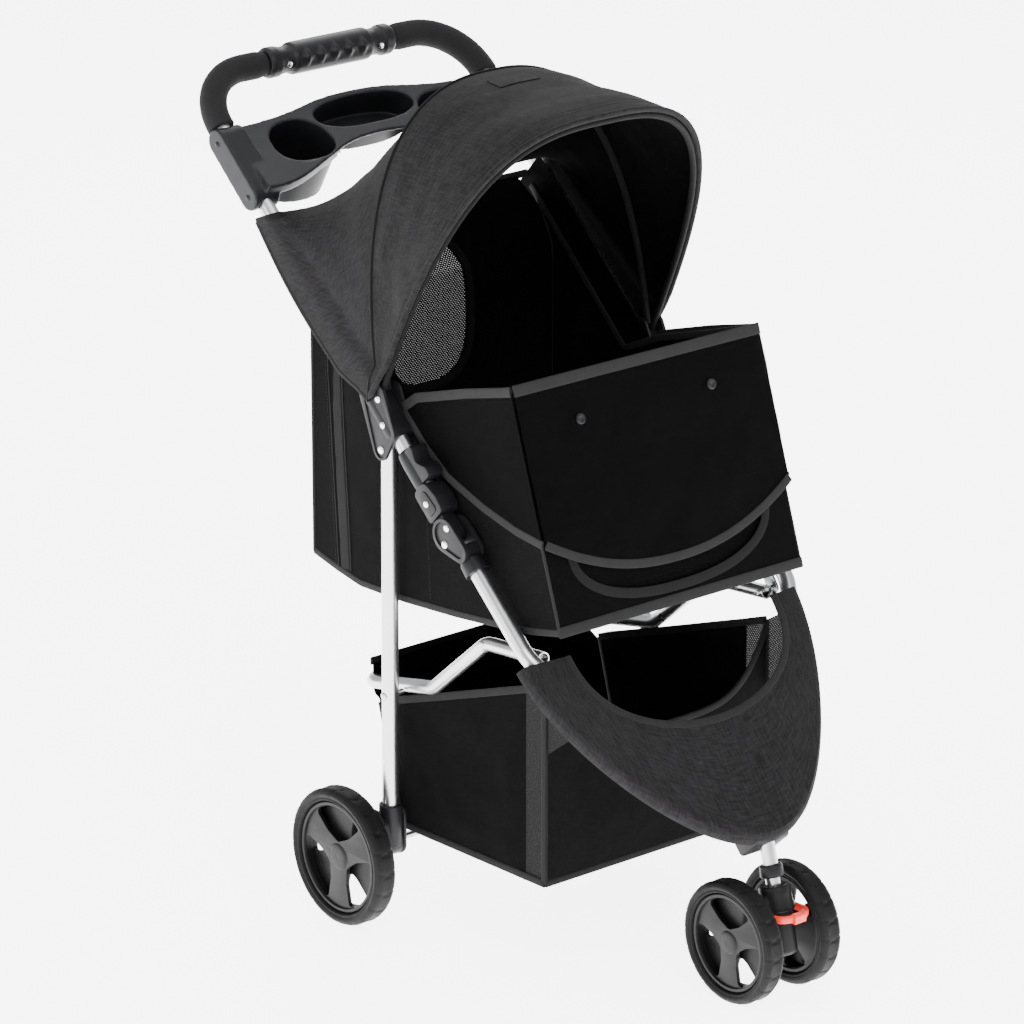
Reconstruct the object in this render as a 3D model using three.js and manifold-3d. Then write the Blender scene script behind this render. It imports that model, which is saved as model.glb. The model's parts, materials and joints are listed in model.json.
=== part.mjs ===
// Three-wheeled folding pet stroller. Millimetres, +Z up, the stroller rolls towards -Y.
// Left is +X and right is -X, as seen by the person who pushes it.
import * as THREE from "three";
import Module from "manifold-3d";
import { mergeVertices } from "three/addons/utils/BufferGeometryUtils.js";

const wasm = await Module();
wasm.setup();

// ---- driving dimensions ----------------------------------------------------------------
const GAP = 0.4; // clearance between pieces that touch
const ORIGIN_SHIFT_Y = 90; // from the rear axle to the middle of the footprint
const HALF_WIDTH = 190; // from the middle to each side tube
const TUBE_RADIUS = 9.5;
const TUBE_WALL = 1.4;
const TUBE_SIDES = 8;
const HARDWARE_INNER = 177; // plastic locks and brackets lie between these two planes
const HARDWARE_OUTER = 203;

const SLOPE = Math.atan(0.9); // the handle and front leg lie on one slope when open
const SLOPE_Y = -39; // a point on the axis of that slope
const SLOPE_Z = 590;

const FOLD_PIVOT = { s: -142.8, off: -4.6 };
const LEG_PIVOT = { s: -15, off: -24 };
const BOW_PIVOT = { s: 30, off: 20 };
const SEAT_PIVOT = { y: -255.5, z: 375 };
const LINK_PIVOT = { y: -32, z: 272 };

const HANDLE_TOP = 475; // along the slope
const HANDLE_CORNER = 68;
const FOAM_START = 404;
const GRIP_HALF = 90;

const REAR_WHEEL = { radius: 80, rim: 57, width: 28.5, x: 233.5, y: 0 };
const FRONT_WHEEL = { radius: 70, rim: 49, width: 27, x: 41.8, y: -441 };
const AXLE_RADIUS = 4;
const REAR_LEG_FOOT_Z = 106;

const POST_LEAN = THREE.MathUtils.degToRad(15);
const POST_TOP = { y: -444, z: 184 };
const POST_LENGTH = 128;
const POST_RADIUS = 8.5;

const CLOTH = 2.5; // thickness of the sewn walls
const CABIN_HALF = 173.5; // inside half width of the cabin
const BASKET_HALF = 160;
const BOW_RADIUS = 3.5;
const FRONT_BOW = { half: 194, height: 326 };
const REAR_BOW = { half: 185.5, height: 317 };

// ---- finishes --------------------------------------------------------------------------
const finish = (color, roughness, metalness) =>
  new THREE.MeshStandardMaterial({ color, roughness, metalness });
const ALUMINIUM = () => finish(0xc9cbcd, 0.35, 0.9);
const STEEL = () => finish(0x9a9c9f, 0.3, 0.9);
const PLASTIC = () => finish(0x2b2c2f, 0.5, 0);
const TRAY_PLASTIC = () => finish(0x3a3b3f, 0.45, 0);
const FOAM = () => finish(0x2e2f31, 0.95, 0);
const RUBBER = () => finish(0x1d1e20, 0.85, 0);
const RED = () => finish(0xe03028, 0.4, 0);
const FABRIC = () => finish(0x1c1b1d, 0.9, 0);
const MESH_CLOTH = () => finish(0x0c0c0d, 0.8, 0);

// ---- the scene graph -------------------------------------------------------------------
const stroller = new THREE.Group();
stroller.position.y = ORIGIN_SHIFT_Y;
const slope = new THREE.Group(); // local Y runs up the slope, local Z stands off it
slope.position.set(0, SLOPE_Y, SLOPE_Z);
slope.rotation.x = SLOPE;
stroller.add(slope);

function add(group, name, geometry, material) {
  const mesh = new THREE.Mesh(geometry, material);
  mesh.name = name;
  group.add(mesh);
  return mesh;
}

// One piece on the left and its mirror image on the right.
function addPair(group, name, geometry, material) {
  add(group, name + "_left", geometry, material());
  add(group, name + "_right", geometry, material()).scale.x = -1;
}

// A point given along and off the slope, in the side view of the whole stroller.
function fromSlope({ s, off }) {
  return {
    y: SLOPE_Y + s * Math.cos(SLOPE) - off * Math.sin(SLOPE),
    z: SLOPE_Z + s * Math.sin(SLOPE) + off * Math.cos(SLOPE),
  };
}

// ---- booleans --------------------------------------------------------------------------
function toSolid(geometry) {
  const bare = new THREE.BufferGeometry();
  const source = geometry.index ? geometry.toNonIndexed() : geometry;
  bare.setAttribute("position", source.getAttribute("position").clone());
  const merged = mergeVertices(bare, 1e-4);
  return new wasm.Manifold(
    new wasm.Mesh({
      numProp: 3,
      vertProperties: new Float32Array(merged.attributes.position.array),
      triVerts: new Uint32Array(merged.index.array),
    }),
  );
}

function toGeometry(solid) {
  const mesh = solid.getMesh();
  const geometry = new THREE.BufferGeometry();
  geometry.setAttribute("position", new THREE.BufferAttribute(mesh.vertProperties, 3));
  geometry.setIndex(new THREE.BufferAttribute(mesh.triVerts, 1));
  return geometry;
}

const join = (first, ...others) =>
  toGeometry(others.reduce((all, g) => all.add(toSolid(g)), toSolid(first)));
const cut = (first, ...others) =>
  toGeometry(others.reduce((all, g) => all.subtract(toSolid(g)), toSolid(first)));

// ---- shapes ----------------------------------------------------------------------------
// A box from its lowest to its highest corner.
function block([x0, x1], [y0, y1], [z0, z1]) {
  const box = new THREE.BoxGeometry(x1 - x0, y1 - y0, z1 - z0);
  return box.translate((x0 + x1) / 2, (y0 + y1) / 2, (z0 + z1) / 2);
}

// A round rod between two points.
function rod(from, to, radius, sides = 12) {
  const start = new THREE.Vector3(...from);
  const along = new THREE.Vector3(...to).sub(start);
  const geometry = new THREE.CylinderGeometry(radius, radius, along.length(), sides);
  const turn = new THREE.Quaternion().setFromUnitVectors(
    new THREE.Vector3(0, 1, 0),
    along.clone().normalize(),
  );
  return geometry.applyQuaternion(turn).translate(...start.addScaledVector(along, 0.5));
}

// A rod across the stroller, at one place in the side view.
const crossRod = (x0, x1, y, z, radius, sides) => rod([x0, y, z], [x1, y, z], radius, sides);

// An outline in the side view (first the way along Y, then up Z), as thick as x0 to x1.
function sidePlate(shape, x0, x1) {
  const plate = new THREE.ExtrudeGeometry(shape, {
    depth: x1 - x0,
    bevelEnabled: false,
    curveSegments: 10,
  });
  const turn = new THREE.Matrix4().makeBasis(
    new THREE.Vector3(0, 1, 0),
    new THREE.Vector3(0, 0, 1),
    new THREE.Vector3(1, 0, 0),
  );
  return plate.applyMatrix4(turn).translate(x0, 0, 0);
}

const outline = (points) => new THREE.Shape(points.map(([a, b]) => new THREE.Vector2(a, b)));

// The outline of a belt drawn tight round some discs, each [across, up, radius].
function beltOutline(discs) {
  const points = [];
  for (const [across, up, radius] of discs)
    for (let k = 0; k < 16; k++) {
      const turn = (k * Math.PI) / 8;
      points.push([across + radius * Math.cos(turn), up + radius * Math.sin(turn)]);
    }
  points.sort((p, q) => p[0] - q[0] || p[1] - q[1]);
  const turnOf = (o, p, q) => (p[0] - o[0]) * (q[1] - o[1]) - (p[1] - o[1]) * (q[0] - o[0]);
  const half = (list) => {
    const chain = [];
    for (const p of list) {
      while (chain.length > 1 && turnOf(chain.at(-2), chain.at(-1), p) <= 1e-6) chain.pop();
      chain.push(p);
    }
    return chain.slice(0, -1);
  };
  return outline([...half(points), ...half([...points].reverse())]);
}

// A geometry drawn in the stroller's own frame, moved into the frame of one of its groups.
function intoFrame(geometry, group) {
  group.updateMatrix();
  return geometry.applyMatrix4(group.matrix.clone().invert());
}

// A polyline whose corners are rounded, as a curve that ExtrudeGeometry can follow.
class BentPath extends THREE.Curve {
  constructor(corners, radius, arcSteps = 5) {
    super();
    const points = corners.map((c) => new THREE.Vector3(...c));
    this.nodes = [points[0]];
    for (let i = 1; i < points.length - 1; i++) {
      const back = points[i - 1].clone().sub(points[i]).normalize();
      const ahead = points[i + 1].clone().sub(points[i]).normalize();
      const half = back.angleTo(ahead) / 2;
      const reach = radius / Math.tan(half);
      const middle = back.clone().add(ahead).normalize();
      const centre = points[i].clone().addScaledVector(middle, radius / Math.sin(half));
      const start = points[i].clone().addScaledVector(back, reach).sub(centre);
      const end = points[i].clone().addScaledVector(ahead, reach).sub(centre);
      const sweep = start.angleTo(end);
      for (let k = 0; k <= arcSteps; k++) {
        const a = Math.sin(sweep * (1 - k / arcSteps)) / Math.sin(sweep);
        const b = Math.sin((sweep * k) / arcSteps) / Math.sin(sweep);
        const p = start.clone().multiplyScalar(a).addScaledVector(end, b);
        this.nodes.push(p.add(centre));
      }
    }
    this.nodes.push(points.at(-1));
  }
  get steps() {
    return this.nodes.length - 1;
  }
  getSpacedPoints() {
    return this.nodes;
  }
  getPoint(t, target = new THREE.Vector3()) {
    return target.copy(this.nodes[Math.round(t * this.steps)]);
  }
  getTangentAt(u, target = new THREE.Vector3()) {
    const i = Math.round(u * this.steps);
    const before = this.nodes[Math.max(i - 1, 0)];
    const here = this.nodes[i];
    const after = this.nodes[Math.min(i + 1, this.steps)];
    const arriving = here.clone().sub(before).normalize();
    const leaving = after.clone().sub(here).normalize();
    return target.copy(arriving.add(leaving)).normalize();
  }
}

function circleShape(radius, sides) {
  const points = [];
  for (let k = 0; k < sides; k++) {
    const turn = (2 * Math.PI * k) / sides;
    points.push([radius * Math.cos(turn), radius * Math.sin(turn)]);
  }
  return outline(points);
}

// A round bar, or a hollow tube when it has a bore, along a bent path.
function tube(path, radius, { bore = 0, sides = TUBE_SIDES } = {}) {
  const section = circleShape(radius, sides);
  if (bore > 0) section.holes.push(circleShape(bore, sides));
  return new THREE.ExtrudeGeometry(section, {
    steps: path.steps,
    extrudePath: path,
    bevelEnabled: false,
  });
}

// A sheet of cloth as a thin closed solid. rows is a grid of points on its inner face.
function sheet(rows, thickness = CLOTH) {
  const m = rows.length;
  const n = rows[0].length;
  const at = (i, j) =>
    rows[Math.min(Math.max(i, 0), m - 1)][Math.min(Math.max(j, 0), n - 1)];
  const positions = [];
  for (const side of [0, thickness])
    for (let i = 0; i < m; i++)
      for (let j = 0; j < n; j++) {
        const along = at(i + 1, j).clone().sub(at(i - 1, j));
        const across = at(i, j + 1).clone().sub(at(i, j - 1));
        const normal = along.cross(across).normalize();
        positions.push(...at(i, j).clone().addScaledVector(normal, side));
      }
  const id = (layer, i, j) => layer * m * n + i * n + j;
  const index = [];
  const quad = (a, b, c, d) =>
    thickness > 0 ? index.push(a, b, c, a, c, d) : index.push(a, c, b, a, d, c);
  for (let i = 0; i + 1 < m; i++)
    for (let j = 0; j + 1 < n; j++) {
      quad(id(1, i, j), id(1, i + 1, j), id(1, i + 1, j + 1), id(1, i, j + 1));
      quad(id(0, i, j), id(0, i, j + 1), id(0, i + 1, j + 1), id(0, i + 1, j));
    }
  for (let i = 0; i + 1 < m; i++) {
    quad(id(0, i, 0), id(0, i + 1, 0), id(1, i + 1, 0), id(1, i, 0));
    quad(id(0, i + 1, n - 1), id(0, i, n - 1), id(1, i, n - 1), id(1, i + 1, n - 1));
  }
  for (let j = 0; j + 1 < n; j++) {
    quad(id(0, 0, j + 1), id(0, 0, j), id(1, 0, j), id(1, 0, j + 1));
    quad(id(0, m - 1, j), id(0, m - 1, j + 1), id(1, m - 1, j + 1), id(1, m - 1, j));
  }
  const geometry = new THREE.BufferGeometry();
  geometry.setAttribute("position", new THREE.Float32BufferAttribute(positions, 3));
  geometry.setIndex(index);
  return geometry;
}

// ---- front frame -----------------------------------------------------------------------
// The apron plane leans forward from the knee of the front leg down to the caster post.
const KNEE = { y: -268, z: SLOPE_Z + 0.9 * (-268 - SLOPE_Y) };
const APRON_TILT = Math.atan2(204, 185);
const apronFrame = new THREE.Group(); // local Y runs up to the knee, local Z stands off
apronFrame.position.set(0, KNEE.y, KNEE.z);
apronFrame.rotation.x = APRON_TILT;
stroller.add(apronFrame);
const onApron = (x, down, off = 0) =>
  new THREE.Vector3(
    x,
    KNEE.y - down * Math.cos(APRON_TILT) - off * Math.sin(APRON_TILT),
    KNEE.z - down * Math.sin(APRON_TILT) + off * Math.cos(APRON_TILT),
  );

const LEG_TOP = fromSlope({ s: FOLD_PIVOT.s - 24, off: 0 });
const FOOT_HALF = 58;
const FOOT_DOWN = 256;
const foot = (side) => onApron(side * FOOT_HALF, FOOT_DOWN).toArray();
const frontLegPath = new BentPath(
  [
    [-HALF_WIDTH, LEG_TOP.y, LEG_TOP.z],
    [-HALF_WIDTH, KNEE.y, KNEE.z],
    foot(-1),
    foot(1),
    [HALF_WIDTH, KNEE.y, KNEE.z],
    [HALF_WIDTH, LEG_TOP.y, LEG_TOP.z],
  ],
  48,
  5,
);
add(
  stroller,
  "front_leg_tube",
  tube(frontLegPath, TUBE_RADIUS, { bore: TUBE_RADIUS - TUBE_WALL }),
  ALUMINIUM(),
);

// A tab under each front leg carries the pivot of the seat frame.
const tabShape = beltOutline([
  [SEAT_PIVOT.y, SEAT_PIVOT.z, 9],
  [-238, 402, 6],
  [-248, 390, 6],
]);
const PIN = 3;
addPair(
  stroller,
  "seat_tab",
  join(
    sidePlate(tabShape, HARDWARE_INNER, HALF_WIDTH - TUBE_RADIUS - 0.5),
    crossRod(153, 178, SEAT_PIVOT.y, SEAT_PIVOT.z, PIN),
  ),
  STEEL,
);

// The caster post hangs from a moulded block that grips the bottom of the front leg.
const post = new THREE.Group();
post.position.set(0, POST_TOP.y, POST_TOP.z);
post.rotation.x = -POST_LEAN; // local -Z runs down the post, forwards
stroller.add(post);
add(post, "caster_post", rod([0, 0, 0], [0, 0, -POST_LENGTH], POST_RADIUS, 14), STEEL());
const postBore = rod(
  [0, POST_TOP.y - 0.1, POST_TOP.z + 0.5],
  [0, POST_TOP.y - 40, POST_TOP.z + 0.5 - 40 / Math.tan(POST_LEAN)],
  POST_RADIUS + GAP,
  14,
);
const postBlock = cut(
  block([-24, 24], [-FOOT_DOWN - 20, -FOOT_DOWN + 22], [-32, 9.9]),
  rod([-60, -FOOT_DOWN, 0], [60, -FOOT_DOWN, 0], TUBE_RADIUS + GAP, 16),
  intoFrame(postBore, apronFrame),
);
add(apronFrame, "post_block", postBlock, PLASTIC());

// ---- fold locks ------------------------------------------------------------------------
// Side profiles of the locks are drawn along and off the slope, from the fold pivot.
const lockRect = (u0, u1, v0, v1) => [
  [FOLD_PIVOT.s + u0, FOLD_PIVOT.off + v0],
  [FOLD_PIVOT.s + u1, FOLD_PIVOT.off + v0],
  [FOLD_PIVOT.s + u1, FOLD_PIVOT.off + v1],
  [FOLD_PIVOT.s + u0, FOLD_PIVOT.off + v1],
];
const EAR = 12.5; // radius of the round ends at the fold pivot
const CHEEK = 4.5; // thickness of each outer ear
const LOCK_LOW = -7; // the locks reach this far below the pivot
const LOCK_HIGH = 21;
const EAR_CLEAR = 21;
const earDisc = (x0, x1) => crossRod(x0, x1, FOLD_PIVOT.s, FOLD_PIVOT.off, EAR, 20);
const tubeBore = (s0, s1) =>
  rod([HALF_WIDTH, s0, 0], [HALF_WIDTH, s1, 0], TUBE_RADIUS + GAP, 16);
const foldBore = crossRod(160, 220, FOLD_PIVOT.s, FOLD_PIVOT.off, PIN + 1 + GAP, 12);
const cheeks = [
  [HARDWARE_INNER, HARDWARE_INNER + CHEEK],
  [HARDWARE_OUTER - CHEEK, HARDWARE_OUTER],
];
const tongue = [HARDWARE_INNER + CHEEK + GAP, HARDWARE_OUTER - CHEEK - GAP];

const lowerLock = cut(
  join(
    sidePlate(
      outline(lockRect(-62, -EAR_CLEAR, LOCK_LOW, LOCK_HIGH - 2)),
      HARDWARE_INNER,
      HARDWARE_OUTER,
    ),
    ...cheeks.flatMap(([x0, x1]) => [
      sidePlate(outline(lockRect(-EAR_CLEAR - 1, 0, LOCK_LOW, 14)), x0, x1),
      earDisc(x0, x1),
    ]),
  ),
  tubeBore(FOLD_PIVOT.s - 80, FOLD_PIVOT.s - 23.5),
  foldBore,
);
addPair(slope, "lock_lower", lowerLock, PLASTIC);

const upperLock = cut(
  join(
    sidePlate(
      outline(lockRect(EAR_CLEAR, 60, LOCK_LOW, LOCK_HIGH)),
      HARDWARE_INNER,
      HARDWARE_OUTER,
    ),
    sidePlate(outline(lockRect(0, EAR_CLEAR + 1, LOCK_LOW, 14)), ...tongue),
    earDisc(...tongue),
  ),
  tubeBore(FOLD_PIVOT.s + 23.5, FOLD_PIVOT.s + 80),
  foldBore,
);
addPair(slope, "lock_upper", upperLock, PLASTIC);
addPair(
  slope,
  "fold_pin",
  crossRod(HARDWARE_INNER - 0.6, HARDWARE_OUTER + 2, FOLD_PIVOT.s, FOLD_PIVOT.off, PIN + 1, 12),
  STEEL,
);

// The release sleeve slides up the handle tube to free the lock.
const sleeveShape = beltOutline([
  [FOLD_PIVOT.s + 74, 1, 13],
  [FOLD_PIVOT.s + 83, 1, 12],
  [FOLD_PIVOT.s + 68, 15, 6],
]);
const releaseSleeve = cut(
  sidePlate(sleeveShape, HARDWARE_INNER, HARDWARE_OUTER),
  tubeBore(FOLD_PIVOT.s + 50, FOLD_PIVOT.s + 120),
  block([170, 210], [FOLD_PIVOT.s + 50, FOLD_PIVOT.s + 61], [-30, 40]),
);
addPair(slope, "release_sleeve", releaseSleeve, PLASTIC);

// ---- handle ----------------------------------------------------------------------------
const handlePath = new BentPath(
  [
    [HALF_WIDTH, FOLD_PIVOT.s + 24, 0],
    [HALF_WIDTH, HANDLE_TOP, 0],
    [1, HANDLE_TOP, 0],
  ],
  HANDLE_CORNER,
  6,
);
addPair(
  slope,
  "handle_tube",
  tube(handlePath, TUBE_RADIUS, { bore: TUBE_RADIUS - TUBE_WALL }),
  ALUMINIUM,
);
const foamPath = new BentPath(
  [
    [HALF_WIDTH, FOAM_START, 0],
    [HALF_WIDTH, HANDLE_TOP, 0],
    [GRIP_HALF + 2, HANDLE_TOP, 0],
  ],
  HANDLE_CORNER,
  6,
);
addPair(slope, "handle_foam", tube(foamPath, 15.5, { bore: 11, sides: 12 }), () => FOAM());

// Two half shells screwed together round the middle of the handle.
function gripShell(start) {
  const points = [];
  const turnAt = (k) => start + 0.03 + ((Math.PI - 0.06) * k) / 10;
  for (let k = 0; k <= 10; k++)
    points.push([17 * Math.cos(turnAt(k)), 17 * Math.sin(turnAt(k))]);
  for (let k = 10; k >= 0; k--)
    points.push([10.3 * Math.cos(turnAt(k)), 10.3 * Math.sin(turnAt(k))]);
  return sidePlate(outline(points), -GRIP_HALF, GRIP_HALF).translate(0, HANDLE_TOP, 0);
}
add(slope, "grip_upper_shell", gripShell(0), PLASTIC());
add(slope, "grip_lower_shell", gripShell(Math.PI), PLASTIC());

// ---- tray ------------------------------------------------------------------------------
// The tray lies flatter than the slope, between the two handle tubes.
const TRAY_TURN = THREE.MathUtils.degToRad(30) - SLOPE;
const TRAY_S = 350;
const tray = new THREE.Group();
tray.position.set(0, TRAY_S, 4);
tray.rotation.x = TRAY_TURN;
slope.add(tray);

// A level slab of the tray from its outline, across X and along Y.
function traySlab(shape, z0, z1) {
  const slab = new THREE.ExtrudeGeometry(shape, {
    depth: z1 - z0,
    bevelEnabled: false,
    curveSegments: 8,
  });
  return slab.translate(0, 0, z0);
}
function ovalShape(cx, cy, rx, ry) {
  const shape = new THREE.Shape();
  shape.absellipse(cx, cy, rx, ry, 0, 2 * Math.PI);
  return shape;
}
const TRAY_TOP = 10;
const CUP = { x: 106, y: 14, rx: 42, ry: 32, depth: 62 };
const BIN = { y: 40, rx: 62, ry: 20, depth: 34 };
const trayOutline = new THREE.Shape();
trayOutline.moveTo(-192, -46);
trayOutline.bezierCurveTo(-150, -52, -120, -34, -70, -14);
trayOutline.bezierCurveTo(-30, 4, 30, 4, 70, -14);
trayOutline.bezierCurveTo(120, -34, 150, -52, 192, -46);
trayOutline.lineTo(192, 50);
trayOutline.bezierCurveTo(150, 50, 110, 52, 70, 62);
trayOutline.bezierCurveTo(30, 72, -30, 72, -70, 62);
trayOutline.bezierCurveTo(-110, 52, -150, 50, -192, 50);
trayOutline.closePath();
const cupWall = 2.6;
const sides = [-1, 1];
const trayBody = join(
  traySlab(trayOutline, TRAY_TOP - 14, TRAY_TOP),
  traySlab(
    ovalShape(0, BIN.y, BIN.rx + cupWall, BIN.ry + cupWall),
    TRAY_TOP - BIN.depth - cupWall,
    TRAY_TOP - 1,
  ),
  ...sides.map((side) =>
    traySlab(
      ovalShape(side * CUP.x, CUP.y, CUP.rx + cupWall, CUP.ry + cupWall),
      TRAY_TOP - CUP.depth - cupWall,
      TRAY_TOP - 1,
    ),
  ),
);
const trayHollows = [
  traySlab(ovalShape(0, BIN.y, BIN.rx, BIN.ry), TRAY_TOP - BIN.depth, TRAY_TOP + 5),
  ...sides.map((side) =>
    traySlab(ovalShape(side * CUP.x, CUP.y, CUP.rx, CUP.ry), TRAY_TOP - CUP.depth, TRAY_TOP + 5),
  ),
];
// The clamp sleeves follow the tubes, so they are drawn on the slope and turned back.
const clampRod = (side, s0, s1, radius) =>
  intoFrame(rod([side * HALF_WIDTH, s0, 0], [side * HALF_WIDTH, s1, 0], radius, 16), tray);
const clampSleeves = sides.map((side) => clampRod(side, 297, 401, 16.5));
const clampBores = sides.map((side) => clampRod(side, 250, 450, TUBE_RADIUS + GAP));
const trayGeometry = cut(join(trayBody, ...clampSleeves), ...trayHollows, ...clampBores);
add(tray, "parent_tray", trayGeometry, TRAY_PLASTIC());

// ---- hinge brackets --------------------------------------------------------------------
const bracketShape = beltOutline([
  [LEG_PIVOT.s, LEG_PIVOT.off, 12],
  [-24, 2, 11],
  [44, 0, 11],
  [BOW_PIVOT.s, BOW_PIVOT.off, 10],
]);
const slotForLeg = block([180.2, 199.8], [-80, 80], [-60, 0]);
const slotForBow = block([190, 198], [-80, 80], [14, 60]);
const slotForRearBow = block([181.5, 189.4], [-80, 80], [14, 60]);
const hingeBracket = cut(
  sidePlate(bracketShape, HARDWARE_INNER, HARDWARE_OUTER),
  tubeBore(-100, 100),
  slotForLeg,
  slotForBow,
  slotForRearBow,
  crossRod(160, 220, LEG_PIVOT.s, LEG_PIVOT.off, PIN + GAP),
  crossRod(186, 220, BOW_PIVOT.s, BOW_PIVOT.off, 1.5),
);
const bowRivet = crossRod(189.6, HARDWARE_OUTER + 1.5, BOW_PIVOT.s, BOW_PIVOT.off, 2, 10);
addPair(slope, "hinge_bracket", join(hingeBracket, bowRivet), PLASTIC);
addPair(
  slope,
  "leg_pin",
  crossRod(HARDWARE_INNER - 0.6, HARDWARE_OUTER + 2, LEG_PIVOT.s, LEG_PIVOT.off, PIN, 12),
  STEEL,
);

// ---- canopy ----------------------------------------------------------------------------
const BOW_AT = fromSlope(BOW_PIVOT);
const FRONT_TILT = Math.atan2(131, 299); // forward of upright
const REAR_TILT = -Math.atan2(51, 313);
const SHOULDER = 2 / 2.6; // squares the shoulders of the arches a little

// A point of an arch that stands on the bow pivots and leans forward by tilt.
function archPoint(turn, half, height, tilt, base = BOW_AT) {
  const c = Math.cos(turn);
  const up = height * Math.abs(Math.sin(turn)) ** SHOULDER;
  return new THREE.Vector3(
    half * Math.sign(c) * Math.abs(c) ** SHOULDER,
    base.y - up * Math.sin(tilt),
    base.z + up * Math.cos(tilt),
  );
}

class Polyline extends BentPath {
  constructor(points) {
    super([points[0].toArray(), points.at(-1).toArray()], 1);
    this.nodes = points;
  }
}
const ARCH_STEPS = 18;
function bow({ half, height }, tilt, firstUp) {
  const points = [];
  for (let k = 0; k <= ARCH_STEPS; k++)
    points.push(archPoint((Math.PI * k) / ARCH_STEPS, half, height, tilt));
  const lift = new THREE.Vector3(0, -firstUp * Math.sin(tilt), firstUp * Math.cos(tilt));
  points[0].add(lift);
  points[ARCH_STEPS].add(lift);
  return tube(new Polyline(points), BOW_RADIUS, { sides: 8 });
}
const bowBores = sides.map((side) =>
  crossRod(side * 180, side * 210, BOW_AT.y, BOW_AT.z, 2 + GAP, 10),
);
add(stroller, "canopy_front_bow", cut(bow(FRONT_BOW, FRONT_TILT, -5), ...bowBores), PLASTIC());
add(stroller, "canopy_rear_bow", bow(REAR_BOW, REAR_TILT, 3), PLASTIC());

// The canopy runs over both bows and down to the front edge of the tray.
const canopyRows = [];
const CANOPY_FIRST = 0.055; // the arch starts clear of the brackets
const canopyStations = [
  { half: 201, height: 335, tilt: FRONT_TILT },
  { half: 201, height: 336, tilt: (FRONT_TILT * 2 + REAR_TILT) / 3 },
  { half: 201, height: 334, tilt: (FRONT_TILT + REAR_TILT * 2) / 3 },
  { half: 201, height: 328, tilt: REAR_TILT },
];
for (const { half, height, tilt } of canopyStations) {
  const row = [];
  for (let k = 0; k <= ARCH_STEPS; k++) {
    const turn = CANOPY_FIRST + ((Math.PI - 2 * CANOPY_FIRST) * k) / ARCH_STEPS;
    row.push(archPoint(turn, half, height, tilt));
  }
  canopyRows.push(row);
}
const BACK_EDGE = fromSlope({ s: 262, off: 14 });
const rearRow = canopyRows.at(-1);
for (const along of [0.5, 1]) {
  canopyRows.push(
    rearRow.map((p) => {
      const low = new THREE.Vector3(p.x * 0.985, BACK_EDGE.y, BACK_EDGE.z + 12);
      const q = p.clone().lerp(low, along);
      q.z = Math.max(q.z, SLOPE_Z + 0.9 * (q.y - SLOPE_Y) + 20);
      return q;
    }),
  );
}
add(stroller, "canopy_cover", sheet(canopyRows, -CLOTH), FABRIC());

// ---- rear legs -------------------------------------------------------------------------
const LEG_AT = fromSlope(LEG_PIVOT);
const legLean = (LINK_PIVOT.y - LEG_AT.y) / (LEG_AT.z - LINK_PIVOT.z);
const legY = (z) => LEG_AT.y + legLean * (LEG_AT.z - z);
const rearLegPath = new BentPath(
  [
    [HALF_WIDTH, legY(LEG_AT.z + 8.5), LEG_AT.z + 8.5],
    [HALF_WIDTH, legY(REAR_LEG_FOOT_Z), REAR_LEG_FOOT_Z],
  ],
  1,
);
const rearLeg = cut(
  tube(rearLegPath, TUBE_RADIUS, { bore: TUBE_RADIUS - TUBE_WALL, sides: 12 }),
  crossRod(170, 210, LEG_AT.y, LEG_AT.z, PIN + GAP),
);
const linkRivet = crossRod(172.5, 203, LINK_PIVOT.y, LINK_PIVOT.z, PIN, 12);
addPair(stroller, "rear_leg", join(rearLeg, linkRivet), ALUMINIUM);

// The foot bracket joins the leg to the axle behind it and carries the brake pedal.
const BRAKE_PIVOT = { y: 24, z: 104 };
const BRACKET_INNER = 177;
const BRACKET_OUTER = 214;
const footShape = beltOutline([
  [legY(120), 130, 13],
  [legY(100), 92, 13],
  [0, REAR_WHEEL.radius, 13],
  [BRAKE_PIVOT.y, BRAKE_PIVOT.z, 7],
]);
const BRAKE_X = [184, 207];
const legSocketBottom = REAR_LEG_FOOT_Z - 1;
const footBracket = cut(
  sidePlate(footShape, BRACKET_INNER, BRACKET_OUTER),
  rod(
    [HALF_WIDTH, legY(legSocketBottom), legSocketBottom],
    [HALF_WIDTH, legY(200), 200],
    TUBE_RADIUS + GAP,
    12,
  ),
  crossRod(150, 230, 0, REAR_WHEEL.radius, AXLE_RADIUS + GAP),
  block([BRAKE_X[0] - 0.8, BRAKE_X[1] + 0.8], [12, 60], [60, 160]),
  crossRod(150, 230, BRAKE_PIVOT.y, BRAKE_PIVOT.z, 2.5 + GAP),
  block([195, 230], [-60, 60], [132, 160]),
);
addPair(stroller, "foot_bracket", footBracket, PLASTIC);

const pedalShape = beltOutline([
  [BRAKE_PIVOT.y, BRAKE_PIVOT.z, 7],
  [34, 106, 6],
]);
const padShape = beltOutline([
  [36, 106, 5],
  [64, 112, 3],
]);
const brakePedal = join(
  sidePlate(pedalShape, BRAKE_X[0], BRAKE_X[1]),
  sidePlate(padShape, BRAKE_X[0] - 5, BRAKE_X[1] + 5),
  crossRod(BRAKE_X[0] - 5.5, BRAKE_X[1] + 5.5, BRAKE_PIVOT.y, BRAKE_PIVOT.z, 2.5, 10),
);
addPair(stroller, "brake_pedal", brakePedal, RED);

const HUB_HALF = 10;
add(
  stroller,
  "rear_axle",
  crossRod(
    -REAR_WHEEL.x - HUB_HALF + 2,
    REAR_WHEEL.x + HUB_HALF - 2,
    0,
    REAR_WHEEL.radius,
    AXLE_RADIUS,
    12,
  ),
  STEEL(),
);

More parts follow.
